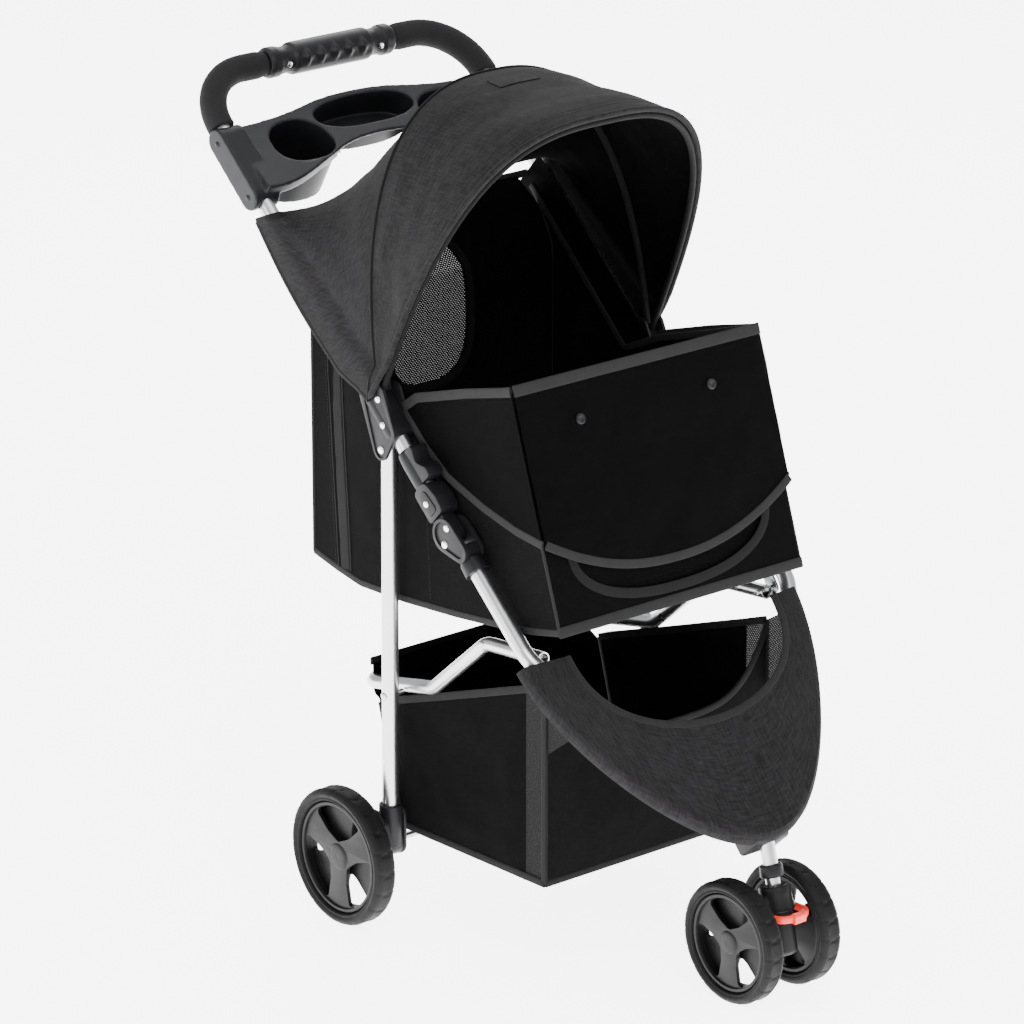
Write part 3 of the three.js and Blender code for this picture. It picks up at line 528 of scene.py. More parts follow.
# ---- finishes ---------------------------------------------------------------------------------
class Finish:
    """A node material built step by step round one Principled shader."""

    def __init__(self, name, color, roughness, metallic=0.0, specular=0.5):
        self.material = bpy.data.materials.new(name)
        self.material.use_nodes = True
        self.tree = self.material.node_tree
        self.shader = self.tree.nodes["Principled BSDF"]
        self.set({"Base Color": color, "Roughness": roughness, "Metallic": metallic})
        self.set({"Specular IOR Level": specular})
        self.height = None

    def node(self, kind, **settings):
        made = self.tree.nodes.new(kind)
        for name, value in settings.items():
            setattr(made, name, value)
        return made

    def link(self, source, target):
        self.tree.links.new(source, target)

    def set(self, values):
        for name, value in values.items():
            self.feed(value, self.shader.inputs[name])

    def feed(self, value, socket):
        """Sets a socket to a number or a colour, or links another node's output to it."""
        if isinstance(value, tuple):
            socket.default_value = (*value, 1)
        elif isinstance(value, (int, float)):
            socket.default_value = value
        else:
            self.link(value, socket)

    def coordinates(self, kind="Object", scale=(1, 1, 1)):
        place = self.node("ShaderNodeTexCoord")
        mapping = self.node("ShaderNodeMapping")
        mapping.inputs["Scale"].default_value = scale
        self.link(place.outputs[kind], mapping.inputs["Vector"])
        return mapping.outputs["Vector"]

    def noise(self, scale, detail=3.0, kind="Object", stretch=(1, 1, 1), roughness=0.5):
        made = self.node("ShaderNodeTexNoise")
        made.inputs["Scale"].default_value = scale
        made.inputs["Detail"].default_value = detail
        made.inputs["Roughness"].default_value = roughness
        self.link(self.coordinates(kind, stretch), made.inputs["Vector"])
        return made.outputs["Fac"]

    def ramp(self, value, stops):
        made = self.node("ShaderNodeValToRGB")
        ends = made.color_ramp.elements
        while len(ends) < len(stops):
            ends.new(0.5)
        for end, (place, color) in zip(ends, stops):
            end.position = place
            end.color = (*color, 1) if len(color) == 3 else color
        self.link(value, made.inputs["Fac"])
        return made.outputs["Color"]

    def math(self, operation, a, b):
        made = self.node("ShaderNodeMath", operation=operation)
        for socket, value in zip(made.inputs, (a, b)):
            self.feed(value, socket)
        return made.outputs[0]

    def mix(self, factor, a, b, mode="MIX"):
        made = self.node("ShaderNodeMix", data_type="RGBA", blend_type=mode)
        for number, value in ((0, factor), (6, a), (7, b)):
            self.feed(value, made.inputs[number])
        return made.outputs[2]

    def color(self, value):
        self.link(value, self.shader.inputs["Base Color"])

    def roughness(self, value, low, high):
        spread = self.node("ShaderNodeMapRange")
        spread.inputs["To Min"].default_value = low
        spread.inputs["To Max"].default_value = high
        self.link(value, spread.inputs["Value"])
        self.link(spread.outputs["Result"], self.shader.inputs["Roughness"])

    def bump(self, value, strength, distance):
        made = self.node("ShaderNodeBump")
        made.inputs["Strength"].default_value = strength
        made.inputs["Distance"].default_value = distance
        self.link(value, made.inputs["Height"])
        if self.height is not None:
            self.link(self.height, made.inputs["Normal"])
        self.height = made.outputs["Normal"]
        self.link(self.height, self.shader.inputs["Normal"])

    def sheen(self, weight, roughness, tint):
        self.set({"Sheen Weight": weight, "Sheen Roughness": roughness, "Sheen Tint": tint})


def metal(name, color, roughness, streak):
    f = Finish(name, color, roughness, metallic=1.0)
    brushed = f.noise(60, 4, stretch=streak)
    f.roughness(brushed, roughness - 0.07, roughness + 0.1)
    f.color(f.ramp(brushed, [(0.25, tuple(c * 0.9 for c in color)), (0.75, color)]))
    f.bump(f.noise(900, 2), 0.06, 0.0002)
    return f.material


def plastic(name, color, roughness, grain=0.12, wear=1.5, coat=0.0):
    f = Finish(name, color, roughness, specular=0.17)
    broad = f.noise(18, 4)
    f.color(f.ramp(broad, [(0.3, tuple(c * 0.82 for c in color)), (0.72, tuple(c * wear for c in color))]))
    f.roughness(f.noise(70, 4), roughness - 0.06, roughness + 0.1)
    f.bump(f.noise(1400, 3), grain, 0.0003)
    if coat:
        f.set({"Coat Weight": coat, "Coat Roughness": 0.25})
    return f.material


def foam(name):
    f = Finish(name, (0.009, 0.009, 0.0095), 0.95, specular=0.15)
    cells = f.node("ShaderNodeTexVoronoi")
    cells.inputs["Scale"].default_value = 750
    f.link(f.coordinates(), cells.inputs["Vector"])
    f.color(f.mix(f.noise(40, 3), (0.0075, 0.0075, 0.008), (0.0125, 0.0125, 0.013)))
    f.bump(cells.outputs["Distance"], 0.45, 0.0006)
    f.bump(f.noise(260, 3), 0.25, 0.0008)
    f.sheen(0.04, 0.5, (0.6, 0.6, 0.6))
    return f.material


def rubber(name):
    f = Finish(name, (0.004, 0.004, 0.0043), 0.62, specular=0.12)
    f.color(f.mix(f.noise(35, 4), (0.0028, 0.0028, 0.003), (0.0062, 0.0062, 0.0066)))
    f.roughness(f.noise(120, 3), 0.5, 0.75)
    f.bump(f.noise(1100, 3), 0.14, 0.0003)
    return f.material


def woven(name, dark, light, sheen=0.05, weave=0.0011, slub=0.88, specular=0.08):
    """A plain weave with mottled yarns; its threads follow the cloth's UVs, which are in metres."""
    f = Finish(name, dark, 0.88, specular=specular)
    warp = f.node("ShaderNodeTexWave", wave_type="BANDS", bands_direction="X")
    weft = f.node("ShaderNodeTexWave", wave_type="BANDS", bands_direction="Y")
    for wave in (warp, weft):
        wave.inputs["Scale"].default_value = 0.314 / weave
        wave.inputs["Distortion"].default_value = 0.6
        wave.inputs["Detail"].default_value = 1
        f.link(f.coordinates("UV"), wave.inputs["Vector"])
    threads = f.math("MULTIPLY", warp.outputs["Fac"], weft.outputs["Fac"])
    long_yarns = f.noise(420, 3, "UV", (1, 0.16, 1))
    cross_yarns = f.noise(420, 3, "UV", (0.16, 1, 1))
    yarns = f.math("ADD", f.math("MULTIPLY", long_yarns, 0.5), f.math("MULTIPLY", cross_yarns, 0.5))
    broad = f.noise(22, 4)
    mottle = f.math("ADD", f.math("MULTIPLY", yarns, slub), f.math("MULTIPLY", broad, 1 - slub))
    tone = f.ramp(mottle, [(0.38, dark), (0.62, light)])
    f.color(f.mix(f.math("MULTIPLY", threads, 0.35), tone, tuple(c * 1.25 for c in light)))
    f.roughness(yarns, 0.8, 0.96)
    f.bump(threads, 0.5, 0.0004)
    f.bump(yarns, 0.3, 0.0008)
    f.bump(f.noise(14, 3), 0.12, 0.006)
    f.sheen(sheen, 0.45, (0.75, 0.74, 0.76))
    return f.material


def netting(name, thread, hole, gap, opacity=0.0, roughness=0.7, specular=0.1):
    """A knitted mesh whose staggered holes let the light through."""
    f = Finish(name, thread, roughness, specular=specular)
    knit = f.node("ShaderNodeTexBrick", offset=0.5)
    knit.inputs["Scale"].default_value = 1
    knit.inputs["Brick Width"].default_value = hole[0]
    knit.inputs["Row Height"].default_value = hole[1]
    knit.inputs["Mortar Size"].default_value = hole[1] * gap
    knit.inputs["Mortar Smooth"].default_value = 0.6
    f.link(f.coordinates("UV"), knit.inputs["Vector"])
    solid = f.math("MAXIMUM", knit.outputs["Fac"], opacity)
    f.link(solid, f.shader.inputs["Alpha"])
    f.color(f.mix(f.noise(300, 2), thread, tuple(c * 1.7 for c in thread)))
    f.bump(knit.outputs["Fac"], 0.6, 0.0006)
    f.material.surface_render_method = "DITHERED"
    return f.material


def ribbed(name, color, rib=0.0012):
    """A woven tape with fine ribs across its width."""
    f = Finish(name, color, 0.8, specular=0.12)
    ribs = f.node("ShaderNodeTexWave", wave_type="BANDS", bands_direction="Y")
    ribs.inputs["Scale"].default_value = 0.314 / rib
    f.link(f.coordinates("UV"), ribs.inputs["Vector"])
    f.color(
        f.mix(
            f.math("MULTIPLY", ribs.outputs["Fac"], f.noise(90, 3)),
            tuple(c * 0.75 for c in color),
            tuple(c * 1.5 for c in color),
        )
    )
    f.bump(ribs.outputs["Fac"], 0.5, 0.0004)
    f.bump(f.noise(60, 3), 0.3, 0.001)
    f.sheen(0.04, 0.5, (0.7, 0.7, 0.7))
    return f.material


ALUMINIUM = metal("satin_aluminium", (0.56, 0.565, 0.57), 0.28, (1, 1, 0.06))
STEEL = metal("plated_steel", (0.45, 0.455, 0.46), 0.26, (1, 1, 1))
RIVET = metal("rivet_steel", (0.78, 0.78, 0.78), 0.22, (1, 1, 1))
PLASTIC = plastic("black_moulding", (0.0055, 0.0056, 0.0063), 0.42)
HUB_PLASTIC = plastic("hub_moulding", (0.0036, 0.0036, 0.0040), 0.45, grain=0.08)
TRAY = plastic("tray_moulding", (0.0075, 0.0078, 0.009), 0.38, grain=0.1, wear=1.15)
RED = plastic("red_moulding", (0.80, 0.035, 0.02), 0.32, grain=0.04, wear=1.1, coat=0.4)
FOAM = foam("foam_sleeve")
RUBBER = rubber("tyre_rubber")
CANVAS = woven("charcoal_canvas", (0.0036, 0.0034, 0.0036), (0.0150, 0.0143, 0.0150))
# A darker copy of the charcoal canvas: its extra darkness is painted shade, for the cabin side walls and the
# basket front under the cabin.
SHADED_CANVAS = woven(
    "black_canvas", (0.0010, 0.0010, 0.0010), (0.0034, 0.0032, 0.0034), sheen=0.012, specular=0.04,
)
LINING = woven("black_lining", (0.0006, 0.0006, 0.0006), (0.0020, 0.0020, 0.0021), sheen=0.01, specular=0.03)
CUSHION = woven("cushion_cover", (0.002, 0.002, 0.0022), (0.006, 0.006, 0.0065), sheen=0.03)
NET = netting("side_netting", (0.0030, 0.0030, 0.0032), (0.0036, 0.0022), 0.68)
DARK_NET = netting(
    "front_netting", (0.0006, 0.0006, 0.0007), (0.0017, 0.0012), 0.5, opacity=0.15, specular=0.03,
)
BINDING = ribbed("grey_binding", (0.0105, 0.0105, 0.0109))
PIPING = ribbed("black_piping", (0.0025, 0.0025, 0.0027))
THREAD = plastic("sewing_thread", (0.010, 0.010, 0.011), 0.7, grain=0.0)
BOARD = plastic("floor_board", (0.03, 0.03, 0.03), 0.55)

# the CAD's material slot that each finish usually stands for
SLOTS = {
    "aluminium_tube": [ALUMINIUM], "steel": [STEEL, RIVET], "black_plastic": [PLASTIC, HUB_PLASTIC],
    "tray_plastic": [TRAY], "red_plastic": [RED], "grip_foam": [FOAM], "tyre_rubber": [RUBBER],
    "canvas": [CANVAS, SHADED_CANVAS, LINING, BINDING, PIPING, THREAD], "mesh_cloth": [NET, DARK_NET],
    "cushion_cloth": [CUSHION], "floor_plastic": [BOARD],
}
SLOTS = {finish.name: slot for slot, finishes in SLOTS.items() for finish in finishes}


# ---- tubes of the frame -----------------------------------------------------------------------
def front_leg():
    top = on_slope(FOLD_S - 24, 0)
    foot = [APRON_FRAME @ Vector((s * 58, -256, 0)) for s in (-1, 1)]
    line = bent(
        [
            (-HALF_WIDTH, *top), (-HALF_WIDTH, *KNEE[1:]), foot[0], foot[1], (HALF_WIDTH, *KNEE[1:]),
            (HALF_WIDTH, *top),
        ],
        48,
    )
    make("front_leg", [tube(line, TUBE_R, TUBE_WALL)], ALUMINIUM, "front_frame", ["front_leg_tube"])


def handle_and_foam(side, name):
    line = bent(
        [
            SLOPE_FRAME @ Vector((side * HALF_WIDTH, FOLD_S + 24, 0)),
            SLOPE_FRAME @ Vector((side * HALF_WIDTH, HANDLE_TOP, 0)),
            SLOPE_FRAME @ Vector((side, HANDLE_TOP, 0)),
        ],
        HANDLE_CORNER,
    )
    make(
        f"handle_bar_{name}", [tube(line, TUBE_R, TUBE_WALL)], ALUMINIUM, "handle_frame",
        [f"handle_tube_{name}"],
    )
    line = bent(
        [
            SLOPE_FRAME @ Vector((side * HALF_WIDTH, FOAM_START, 0)),
            SLOPE_FRAME @ Vector((side * HALF_WIDTH, HANDLE_TOP, 0)),
            SLOPE_FRAME @ Vector((side * (GRIP_HALF + 2), HANDLE_TOP, 0)),
        ],
        HANDLE_CORNER, steps=24,
    )
    full = [line[0].lerp(line[1], k / 6) for k in range(6)] + line[1:-1]
    full += [line[-2].lerp(line[-1], k / 3) for k in range(1, 4)]

    def lumps(t):
        return 1 - 0.12 * max(0, 1 - min(t, 1 - t) / 0.02) + 0.012 * ripple((t * 300, side, 0), 40)

    make(
        f"foam_sleeve_{name}", [sweep(full, circle(15.5, 32), Vector((1, 0.01, 0)), scale=lumps)], FOAM,
        "handle_frame", [f"handle_foam_{name}"], sharp=60,
    )


def rear_leg(side, name):
    lean = (LINK_AT[0] - LEG_AT[0]) / (LEG_AT[1] - LINK_AT[1])

    def at(z):
        return Vector((side * HALF_WIDTH, LEG_AT[0] + lean * (LEG_AT[1] - z), z))

    parts = [tube([at(LEG_AT[1] + 8.5), at(340), at(106)], TUBE_R, TUBE_WALL)]
    parts += sided([pin(172.5, 200.5, *LINK_AT, 3), rivet(199.2, *LINK_AT, radius=4.6)], side)
    make(f"rear_leg_bar_{name}", parts, ALUMINIUM, "rear_legs", [f"rear_leg_{name}"])


def seat_tube():
    half, radius = 163, 8
    y0, z0 = SEAT_AT
    left = [(half, y0 - 8, z0), (half, -168, 366), (half, -75, 286), (half, 50, 258)]
    right = [(-x, y, z) for x, y, z in left]
    parts = [tube(bent(right + left[::-1], 30), radius, TUBE_WALL)]
    for side in (1, -1):
        parts += sided([rivet(half + 7.2, -168, 366, 3.4)], side)
    make("seat_frame_bar", parts, ALUMINIUM, "seat_link", ["seat_frame"])


front_leg()
seat_tube()
for name, side in SIDES.items():
    handle_and_foam(side, name)
    rear_leg(side, name)


# ---- fold hardware ----------------------------------------------------------------------------
def slope_plate(outline, x0, x1, holes=()):
    return moved(plate(outline, x0, x1, holes), SLOPE_FRAME)


def slope_collar(profile, s=0, segments=36):
    """A turned collar round the tube on the slope; its heights run up the slope from s."""
    place = SLOPE_FRAME @ Matrix.Translation((HALF_WIDTH, s, 0))
    return moved(lathe(profile, segments, axis="Y"), place)


def slope_rivet(x, s, off, radius=4.4):
    y, z = on_slope(s, off)
    return rivet(x, y, z, radius)


def fold_lock(side, name):
    """The lock at the fold: a shield on the lower leg, and a tongue on the handle tube."""
    s, off = FOLD_S, FOLD_OFF
    shield = belt([(s, off + 2, 19), (s - 27, off + 10, 12)])
    recess = belt([(s + 1, off + 2, 14.5), (s - 26, off + 10, 8)])
    body = [
        slope_plate(shield, INNER, INNER + 4.3), slope_plate(shield, OUTER - 4.4, OUTER - 1.2),
        slope_plate(shield, OUTER - 1.4, OUTER + 0.6, [recess]),
        slope_plate(
            rounded(
                [(s - 38, off, 4), (s - 21.5, off - 2, 2), (s - 21.5, off + 18.5, 3), (s - 38, off + 16, 6)],
            ),
            INNER + 1, OUTER - 1.5,
        ),
        slope_collar([(SLEEVE_BORE, 0), (14.2, 0), (13.6, 14), (12.4, 17), (SLEEVE_BORE, 17)], s - 54, 32),
    ]
    make(
        f"fold_lock_shield_{name}", sided(body, side), PLASTIC, "front_frame", [f"lock_lower_{name}"],
        bevel=1.1,
    )
    heads = [slope_rivet(OUTER - 1.2, s + 4, off + 11, 4.4)]
    heads += [slope_rivet(OUTER - 1.2, s - 7, off - 6, 4.8)]
    make(f"fold_lock_rivets_{name}", sided(heads, side), RIVET, "front_frame", [f"fold_pin_{name}"])

    upper = [
        slope_plate(
            rounded(
                [
                    (s + 21.5, off - 9, 4), (s + 60, off - 9, 6), (s + 64, off + 4, 6),
                    (s + 60, off + 17, 8), (s + 40, off + 22, 14), (s + 21.5, off + 20, 6),
                ]
            ),
            INNER + 0.5, OUTER - 0.5,
        ),
        slope_plate(belt([(s, off, 12), (s + 26, off + 1, 9.5)]), INNER + 4.9, OUTER - 4.9),
        slope_plate(
            rounded(
                [(s + 27, off - 4, 4), (s + 55, off - 4, 5), (s + 55, off + 11, 6), (s + 27, off + 14, 5)],
            ),
            OUTER - 1, OUTER + 0.7,
        ),
    ]
    make(
        f"fold_lock_tongue_{name}", sided(upper, side), PLASTIC, "handle_frame", [f"lock_upper_{name}"],
        bevel=1.2,
    )
    make(
        f"tongue_rivet_{name}", sided([slope_rivet(OUTER + 0.6, s + 41, off + 3.5, 4.0)], side), RIVET,
        "handle_frame",
    )


def release_sleeve(side, name):
    """The hooded thumb slide above the lock."""
    s = FOLD_S
    barrel = [(12.7, 62), (13.2, 66), (13.2, 94), (12.6, 102), (11.6, 107)]
    body = slope_collar([(SLEEVE_BORE, 62)] + barrel + [(SLEEVE_BORE, 107)], s)
    hood = slope_plate(
        rounded(
            [
                (s + 62, 6, 3), (s + 105, 6, 3), (s + 104, 20, 3), (s + 99, 20, 3), (s + 86, 14, 9),
                (s + 72, 25, 6), (s + 62, 24, 4),
            ]
        ),
        HALF_WIDTH - 10.5, HALF_WIDTH + 10.5,
    )
    make(
        f"thumb_slide_{name}", sided([body, hood], side), PLASTIC, f"release_{name}",
        [f"release_sleeve_{name}"], bevel=1.3,
    )


def hinge_bracket(side, name):
    leg_s, leg_off = -15, -24
    face = belt([(leg_s, leg_off, 12), (-11, 3, 10), (40, 2, 12), (30, 20, 11)])
    inset = belt([(leg_s, leg_off, 9), (-10, 2, 6.5), (36, 3, 8), (29, 17, 7.5)])
    cover = [
        slope_plate(face, INNER, INNER + 2.6), slope_plate(face, OUTER - 3.2, OUTER - 1.0),
        slope_plate(face, OUTER - 1.2, OUTER + 0.4, [inset]),
        slope_plate(belt([(-12, 6, 8), (44, 6, 8)]), INNER + 1, OUTER - 1.5),
        slope_collar(
            [(SLEEVE_BORE, -16), (12.0, -16), (13.2, -11), (13.6, 52), (12.4, 58), (SLEEVE_BORE, 58)],
        ),
    ]
    make(
        f"hinge_cover_{name}", sided(cover, side), PLASTIC, "handle_frame", [f"hinge_bracket_{name}"],
        bevel=1.0,
    )
    heads = [
        slope_rivet(OUTER - 1.0, leg_s, leg_off, 4.8), slope_rivet(OUTER - 1.0, 27, 15, 4.4),
        slope_rivet(OUTER - 1.0, 2, 0, 4.2), pin(INNER - 0.8, OUTER - 1, *LEG_AT, 3),
    ]
    make(f"hinge_rivets_{name}", sided(heads, side), RIVET, "handle_frame", [f"leg_pin_{name}"])


def seat_tab(side, name):
    tab = plate(
        belt([(SEAT_AT[0], SEAT_AT[1], 9), (-238, 402, 6), (-248, 390, 6)]), INNER, HALF_WIDTH - TUBE_R - 0.3,
    )
    pivot = [pin(153, 179, *SEAT_AT, 3), rivet(180, *SEAT_AT, radius=4.6)]
    make(
        f"seat_pivot_tab_{name}", sided([tab] + pivot, side), STEEL, "front_frame", [f"seat_tab_{name}"],
        bevel=0.6,
    )


def grip():
    """Two half shells with a raised pad of finger dimples between two collars."""
    def section(start, lift):
        ring = []
        for k in range(25):
            a = start + 0.02 + (math.pi - 0.04) * k / 24
            ring.append(((17 + lift(a)) * math.cos(a), (17 + lift(a)) * math.sin(a)))
        for k in range(24, -1, -1):
            a = start + 0.02 + (math.pi - 0.04) * k / 24
            ring.append((10.3 * math.cos(a), 10.3 * math.sin(a)))
        return ring

    for name, start in (("upper", 0), ("lower", math.pi)):
        stations = []
        for k in range(121):
            x = -GRIP_HALF + 1.5 * k
            edge = max(0, 1 - (GRIP_HALF - abs(x)) / 3.0)
            collar = 0.9 if 74 < abs(x) < 86 else 0
            neck = -1.6 * math.exp(-(((abs(x) - 64) / 7) ** 2))
            pad = 1.8 * min(1, max(0, (57 - abs(x)) / 4))
            stations.append((x, collar + neck + pad - 1.6 * edge**2))
        points, faces = [], []
        n = None
        for x, lift in stations:
            def shape(a, lift=lift, x=x):
                across = abs(a - 0.70 * math.pi) / 0.62
                along = abs((x + 10) % 20 - 10) / 10
                diamond = max(0, 1 - across - along) if start == 0 and abs(x) < 50 else 0
                return lift + 4.5 * diamond

            ring = section(start, shape)
            n = len(ring)
            points += [(x, HANDLE_TOP + a, b) for a, b in ring]
        for i in range(len(stations) - 1):
            for a in range(n):
                b = (a + 1) % n
                faces.append((i * n + a, i * n + b, (i + 1) * n + b, (i + 1) * n + a))
        faces.append(tuple(range(n))[::-1])
        faces.append(tuple((len(stations) - 1) * n + a for a in range(n)))
        shell = moved(part(points, faces), SLOPE_FRAME)
        make(f"grip_shell_{name}", [shell], PLASTIC, "handle_frame", [f"grip_{name}_shell"], sharp=50)
    screw = lathe([(0.01, 16.0), (3.4, 16.0), (3.4, 18.2), (2.6, 18.7), (0.01, 18.7)], 20, axis="Z")
    facing = Matrix.Rotation(math.radians(52), 4, "X")
    screws = [moved(screw, SLOPE_FRAME @ Matrix.Translation((x, HANDLE_TOP, 0)) @ facing) for x in (-66, 66)]
    make("grip_screws", screws, RIVET, "handle_frame")


for name, side in SIDES.items():
    fold_lock(side, name)
    release_sleeve(side, name)
    hinge_bracket(side, name)
    seat_tab(side, name)
grip()


# ---- tray -------------------------------------------------------------------------------------
def bezier(start, a, b, end, steps=14):
    p = [Vector(q) for q in (start, a, b, end)]
    result = []
    for k in range(steps):
        t = k / steps
        q = p[0] * (1 - t) ** 3 + p[1] * 3 * t * (1 - t) ** 2 + p[2] * 3 * t * t * (1 - t) + p[3] * t**3
        result.append((q.x, q.y))
    return result


TRAY_TOP = 10
CUP = {"x": 107, "y": 12, "rx": 39, "ry": 31, "depth": 62}
BIN = {"y": 38, "rx": 69, "ry": 23, "depth": 34}
TRAY_WALL = 2.8


TRAY_EDGE = (
    ((-192, -46), (-150, -52), (-120, -34), (-70, -14)), ((-70, -14), (-30, 4), (30, 4), (70, -14)),
    ((70, -14), (120, -34), (150, -52), (192, -46)), ((192, 50), (150, 50), (110, 52), (70, 62)),
    ((70, 62), (30, 72), (-30, 72), (-70, 62)), ((-70, 62), (-110, 52), (-150, 50), (-192, 50)),
)


def tray_outline():
    return [point for curve in TRAY_EDGE for point in bezier(*curve)]


def oval(cx, cy, rx, ry, power=2.3, steps=64):
    return [(cx + a, cy + b) for a, b in superellipse(rx, ry, power, steps)]


def cup_shape(side, grow=0.0):
    """A rounded D, flatter on the side towards the person who pushes."""
    rx, ry = CUP["rx"] + grow, CUP["ry"] + grow
    return [
        (side * CUP["x"] + a * rx * (1 - 0.08 * b), CUP["y"] + b * ry) for a, b in superellipse(1, 1, 2.4, 64)
    ]


def level(outline, z0, z1):
    """A level slab: the outline runs across X and along Y."""
    a = plate(outline, z0, z1)
    return a[0][:, [1, 2, 0]], a[1], a[2]


def boolean(piece, other, operation):
    m = piece.modifiers.new("cut", "BOOLEAN")
    m.operation = operation
    m.object = other
    m.solver = "EXACT"
    apply_modifiers(piece)
    bpy.data.objects.remove(other)


def solid(name, parts, frame_of):
    piece = to_object(name, [moved(a, frame_of) for a in parts])
    outward(piece)
    return piece


def tray():
    cup_floor, bin_floor = TRAY_TOP - CUP["depth"], TRAY_TOP - BIN["depth"]
    body = solid("tray_moulding", [level(tray_outline(), TRAY_TOP - 14, TRAY_TOP)], TRAY_FRAME)

    def join(name, part, operation, frame_of=TRAY_FRAME):
        boolean(body, solid(name, [part], frame_of), operation)

    inside = [(a * 0.985, 4 + (b - 4) * 0.93) for a, b in tray_outline()]
    join("hollow", level(inside, TRAY_TOP - 20, TRAY_TOP - 3.2), "DIFFERENCE")
    for side in (1, -1):
        join("cup", level(cup_shape(side, TRAY_WALL), cup_floor - TRAY_WALL, TRAY_TOP - 1), "UNION")
    wall = oval(0, BIN["y"], BIN["rx"] + TRAY_WALL, BIN["ry"] + TRAY_WALL)
    join("bin", level(wall, bin_floor - TRAY_WALL, TRAY_TOP - 1), "UNION")
    for side in (1, -1):
        low, high = sorted((side * (HALF_WIDTH - 17), side * (HALF_WIDTH + 17)))
        fairing = slope_plate(belt([(312, 0, 15.2), (388.5, 0, 15.2)]), low, high)
        join("clamp", moved(fairing, SLOPE_FRAME.inverted()), "UNION", SLOPE_FRAME)
    wells = [level(cup_shape(side), cup_floor, TRAY_TOP + 8) for side in (1, -1)]
    wells.append(level(oval(0, BIN["y"], BIN["rx"], BIN["ry"]), bin_floor, TRAY_TOP + 8))
    for well in wells:
        join("well", well, "DIFFERENCE")
    for side in (1, -1):
        ends = [Vector((side * HALF_WIDTH, s, 0)) for s in (250, 450)]
        join("bore", tube(ends, TUBE_R + 0.4, sides=48), "DIFFERENCE", SLOPE_FRAME)
    m = body.modifiers.new("melt", "REMESH")
    m.mode = "VOXEL"
    m.voxel_size = 1.15 * MM
    m = body.modifiers.new("soften", "SMOOTH")
    m.factor = 0.5
    m.iterations = 22
    m = body.modifiers.new("thin", "DECIMATE")
    m.ratio = 0.35
    apply_modifiers(body)
    dress(body, TRAY, "handle_frame", ["parent_tray"])
    screws = []
    for side in (1, -1):
        for s in (312, 386):
            screws += sided([slope_rivet(HALF_WIDTH + 16.4, s, 0, 3.4)], side)
    make("tray_screws", screws, PLASTIC, "handle_frame")


tray()


# ---- wheels -----------------------------------------------------------------------------------
def tyre(size, x):
    """A tyre with rounded shoulders, a recessed sidewall and rows of tread blocks."""
    w, r, rim = size["width"] / 2, size["radius"], size["rim"]
    profile = [
        (rim + 0.3, -w * 0.60), (rim + 1.2, -w * 0.86), (rim + 2.6, -w * 0.92), (rim + 4, -w * 0.86),
        (r - 10, -w * 0.90), (r - 8, -w * 0.98), (r - 6, -w), (r - 2.2, -w * 0.84), (r - 0.4, -w * 0.55),
        (r, -w * 0.2), (r, w * 0.2), (r - 0.4, w * 0.55), (r - 2.2, w * 0.84), (r - 6, w), (r - 8, w * 0.98),
        (r - 10, w * 0.90), (rim + 4, w * 0.86), (rim + 2.6, w * 0.92), (rim + 1.2, w * 0.86),
        (rim + 0.3, w * 0.60),
    ]
    blocks = 20
    segments = blocks * 12
    points, uvs, faces = [], [], []
    n = len(profile)
    for k in range(segments):
        turn = 2 * math.pi * k / segments
        for i, (pr, h) in enumerate(profile):
            phase = (k % 12) / 12
            slant = 0.35 * (h / w) ** 2
            groove = 1.2 if ((phase + slant) % 1.0) < 0.10 else 0.0
            if 6 <= i <= 13:
                pr = pr - groove
                if i in (9, 10):
                    pr = pr - 0.9
            c, s = polar(pr, turn)
            points.append((x + h, size["y"] + c, size["radius"] + s))
            uvs.append((turn * r * MM, h * MM))
    for k in range(segments):
        for i in range(n):
            j = (i + 1) % n
            a, b = k * n, ((k + 1) % segments) * n
            faces.append((a + i, a + j, b + j, b + i))
    return part(points, faces, uvs)


def spoke_window(rim, middle, spread=0.72):
    """The opening between two broad spokes, with round corners."""
    outer = rim - 5.5
    corners = []
    for k in range(9):
        corners.append((*polar(outer, middle - spread + 2 * spread * k / 8), 0 if 0 < k < 8 else 5))
    corners.append((*polar(0.50 * rim, middle + 0.84 * spread), 9))
    corners.append((*polar(0.27 * rim, middle), 9))
    corners.append((*polar(0.50 * rim, middle - 0.84 * spread), 9))
    return rounded(corners, 5)


def hub(size, x, outside):
    """A rim with three broad spokes on the outer face, backed by a second set that is turned."""
    rim = size["rim"]
    y, z = size["y"], size["radius"]

    def placed(outline):
        return [(y + a, z + b) for a, b in outline]

    face = placed([polar(rim - 3.0, 2 * math.pi * k / 96) for k in range(96)])
    parts = []
    for facing, base, spread in ((outside, -math.pi / 6, 0.72), (-outside, math.pi / 20, 0.40)):
        windows = [placed(spoke_window(rim, base + 2 * math.pi * k / 3, spread)) for k in range(3)]
        low, high = sorted((x + facing * 3.0, x + facing * 7.6))
        parts.append(plate(face, low, high, windows))
        cap = [
            (0.01, 2), (0.24 * rim, 2), (0.25 * rim, 7.4), (0.22 * rim, 8.8), (0.16 * rim, 9.4), (0.01, 9.7),
        ]
        parts.append(lathe([(r, h * facing) for r, h in (cap if facing > 0 else cap[::-1])], 60, (x, y, z)))
    ring = [
        (rim - 4.5, -HUB_HALF), (rim - 1.5, -HUB_HALF), (rim - 0.1, -HUB_HALF + 1.4),
        (rim - 0.1, HUB_HALF - 1.4), (rim - 1.5, HUB_HALF), (rim - 4.5, HUB_HALF),
        (rim - 5.3, HUB_HALF - 1.5), (rim - 5.3, -HUB_HALF + 1.5),
    ]
    parts.append(lathe(ring, 96, (x, y, z)))
    return parts


